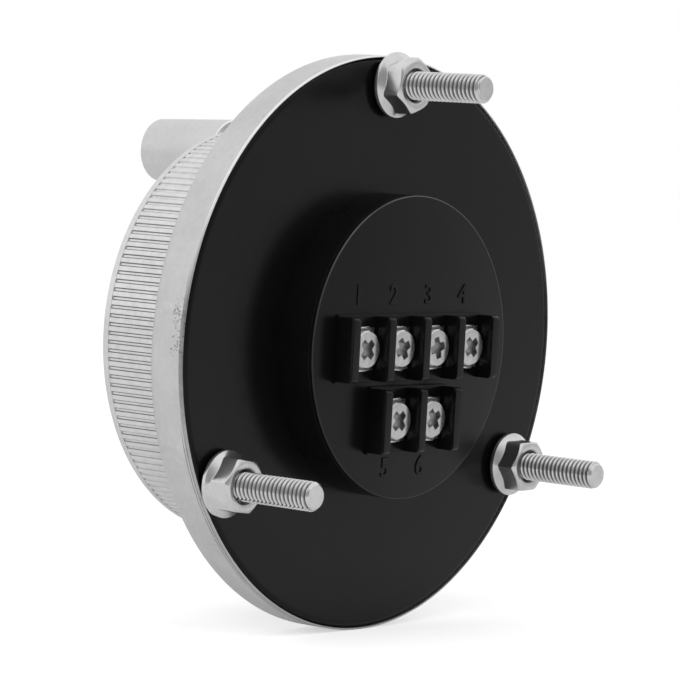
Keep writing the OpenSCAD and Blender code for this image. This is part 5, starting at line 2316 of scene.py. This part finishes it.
@dataclass
class Studio:
    """Floor, lamps, world and camera."""

    azimuth: float = 129.116
    elevation: float = 3.759
    roll: float = 3.163
    distance: float = 486.6
    lens: float = 185.31
    sensor: float = 36.0
    clip: tuple[float, float] = (0.01, 10.0)
    aim_right: float = -0.010422
    aim_up: float = 0.001135
    lamps: tuple[SoftLamp, ...] = (
        SoftLamp("back", (0.2, 0.57, 0.80), size=0.4, power=0.6, reach=0.65),
        SoftLamp("left", (0.85, -0.1, 0.65), size=0.5, power=1.0, reach=0.6),
    )
    soft_light: float = 0.55
    dim_sides: tuple[DimSide, ...] = (DimSide((-0.70, 0.70, -0.06), 0.60), DimSide((0.60, 0.80, 0.0), 0.35))
    dim_ends: tuple[float, float] = (0.55, 0.9)
    floor_size: float = 3000.0
    floor_grey: float = 0.9
    floor_shown: float = 0.5
    floor_mirrored: float = 0.12

    def _camera(self) -> None:
        """Places the camera at its fitted direction and distance."""
        a, e, r = (math.radians(v) for v in (self.azimuth, self.elevation, self.roll))
        back = Vector((math.sin(a) * math.cos(e), -math.cos(a) * math.cos(e), math.sin(e)))
        level = Vector((math.cos(a), math.sin(a), 0))
        up = back.cross(level)
        right = math.cos(r) * level + math.sin(r) * up
        over = -math.sin(r) * level + math.cos(r) * up
        look = (-back + self.aim_right * right + self.aim_up * over).normalized()
        right = (right - look * right.dot(look)).normalized()
        over = (-look).cross(right)
        data = bpy.data.cameras.new("camera")
        data.lens, data.sensor_width = self.lens, self.sensor
        data.clip_start, data.clip_end = self.clip
        camera = new_object("camera", data)
        matrix = Matrix((right, over, -look)).transposed().to_4x4()
        matrix.translation = back * self.distance * MM
        camera.matrix_world = matrix
        bpy.context.scene.camera = camera

    def _world(self) -> None:
        """Lights the object softly from all round; shiny surfaces show white, dimmer on two sides."""
        world = bpy.data.worlds.new("studio")
        world.use_nodes = True
        world.node_tree.nodes.clear()
        w = Wiring(world.node_tree)
        path = w.node("ShaderNodeLightPath")
        mirrored = w.maths("MAXIMUM", path.outputs["Is Glossy Ray"], path.outputs["Is Transmission Ray"])
        x, y, z = w.split(w.node("ShaderNodeTexCoord").outputs["Generated"])
        around: Value = 1.0
        for dim in self.dim_sides:
            side = Vector(dim.towards).normalized()
            toward = w.maths("ADD", w.times(x, side.x), w.times(y, side.y))
            toward = w.maths("ADD", toward, w.times(z, side.z))
            around = w.times(around, w.blend(w.ramp(toward, *self.dim_ends), 1.0, dim.share))
        back = w.node("ShaderNodeBackground")
        back.inputs["Color"].default_value = (1, 1, 1, 1)
        lit = w.blend(mirrored, self.soft_light, around)
        w.link(w.blend(path.outputs["Is Camera Ray"], lit, 1.0), back.inputs["Strength"])
        out = w.node("ShaderNodeOutputWorld")
        w.link(back.outputs[0], out.inputs[0])
        bpy.context.scene.world = world

    def _floor_white(self) -> bpy.types.Material:
        """Makes the floor's material: matt, with a glow that brightens what the camera sees.

        Returns:
            The material.
        """
        material = bpy.data.materials.new("floor_white")
        material.use_nodes = True
        tree = material.node_tree
        tree.nodes.clear()
        w = Wiring(tree)
        path = w.node("ShaderNodeLightPath")
        seen = w.times(path.outputs["Is Camera Ray"], self.floor_shown)
        mirrored = w.times(path.outputs["Is Glossy Ray"], self.floor_mirrored)
        matt = w.node("ShaderNodeBsdfDiffuse")
        matt.inputs["Color"].default_value = (self.floor_grey, self.floor_grey, self.floor_grey, 1)
        glow = w.node("ShaderNodeEmission")
        w.link(w.maths("ADD", seen, mirrored), glow.inputs["Strength"])
        both = w.node("ShaderNodeAddShader")
        out = w.node("ShaderNodeOutputMaterial")
        w.link(matt.outputs[0], both.inputs[0])
        w.link(glow.outputs[0], both.inputs[1])
        w.link(both.outputs[0], out.inputs[0])
        return material

    def _floor(self) -> None:
        """Lays a pale floor under the object."""
        low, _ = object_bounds()
        bm = bmesh.new()
        bmesh.ops.create_grid(bm, x_segments=1, y_segments=1, size=self.floor_size)
        floor = finish_mesh("floor", bm)
        floor.location.z = low[2]
        floor.data.materials.append(self._floor_white())
        floor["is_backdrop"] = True

    def build(self) -> None:
        """Sets up the whole studio."""
        self._camera()
        self._world()
        self._floor()
        for lamp in self.lamps:
            lamp.build()
        bpy.context.scene.view_settings.view_transform = "Standard"


def main() -> None:
    """Builds and dresses the whole object and its studio."""
    logging.basicConfig(level=logging.INFO, format="%(message)s")
    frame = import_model()
    low, high = span_of("crank_handle")
    axis = ((low.x + high.x) / 2, (low.z + high.z) / 2)
    wardrobe = Wardrobe(axis)
    board = TerminalBoard.from_frame(wardrobe)
    for part in (
        Flange.from_frame(wardrobe),
        RearCover.from_frame(wardrobe),
        board,
        TerminalFittings.from_frame(wardrobe, board),
        MountingHardware.from_frame(wardrobe),
        HandWheel.from_frame(wardrobe, axis),
        Dial.from_frame(wardrobe),
        CrankHandle.from_frame(wardrobe, axis),
        InnerWorks.from_frame(wardrobe, frame),
    ):
        part.build()
        LOG.info("built %s", type(part).__name__)
    Studio().build()


if __name__ == "__main__":
    main()
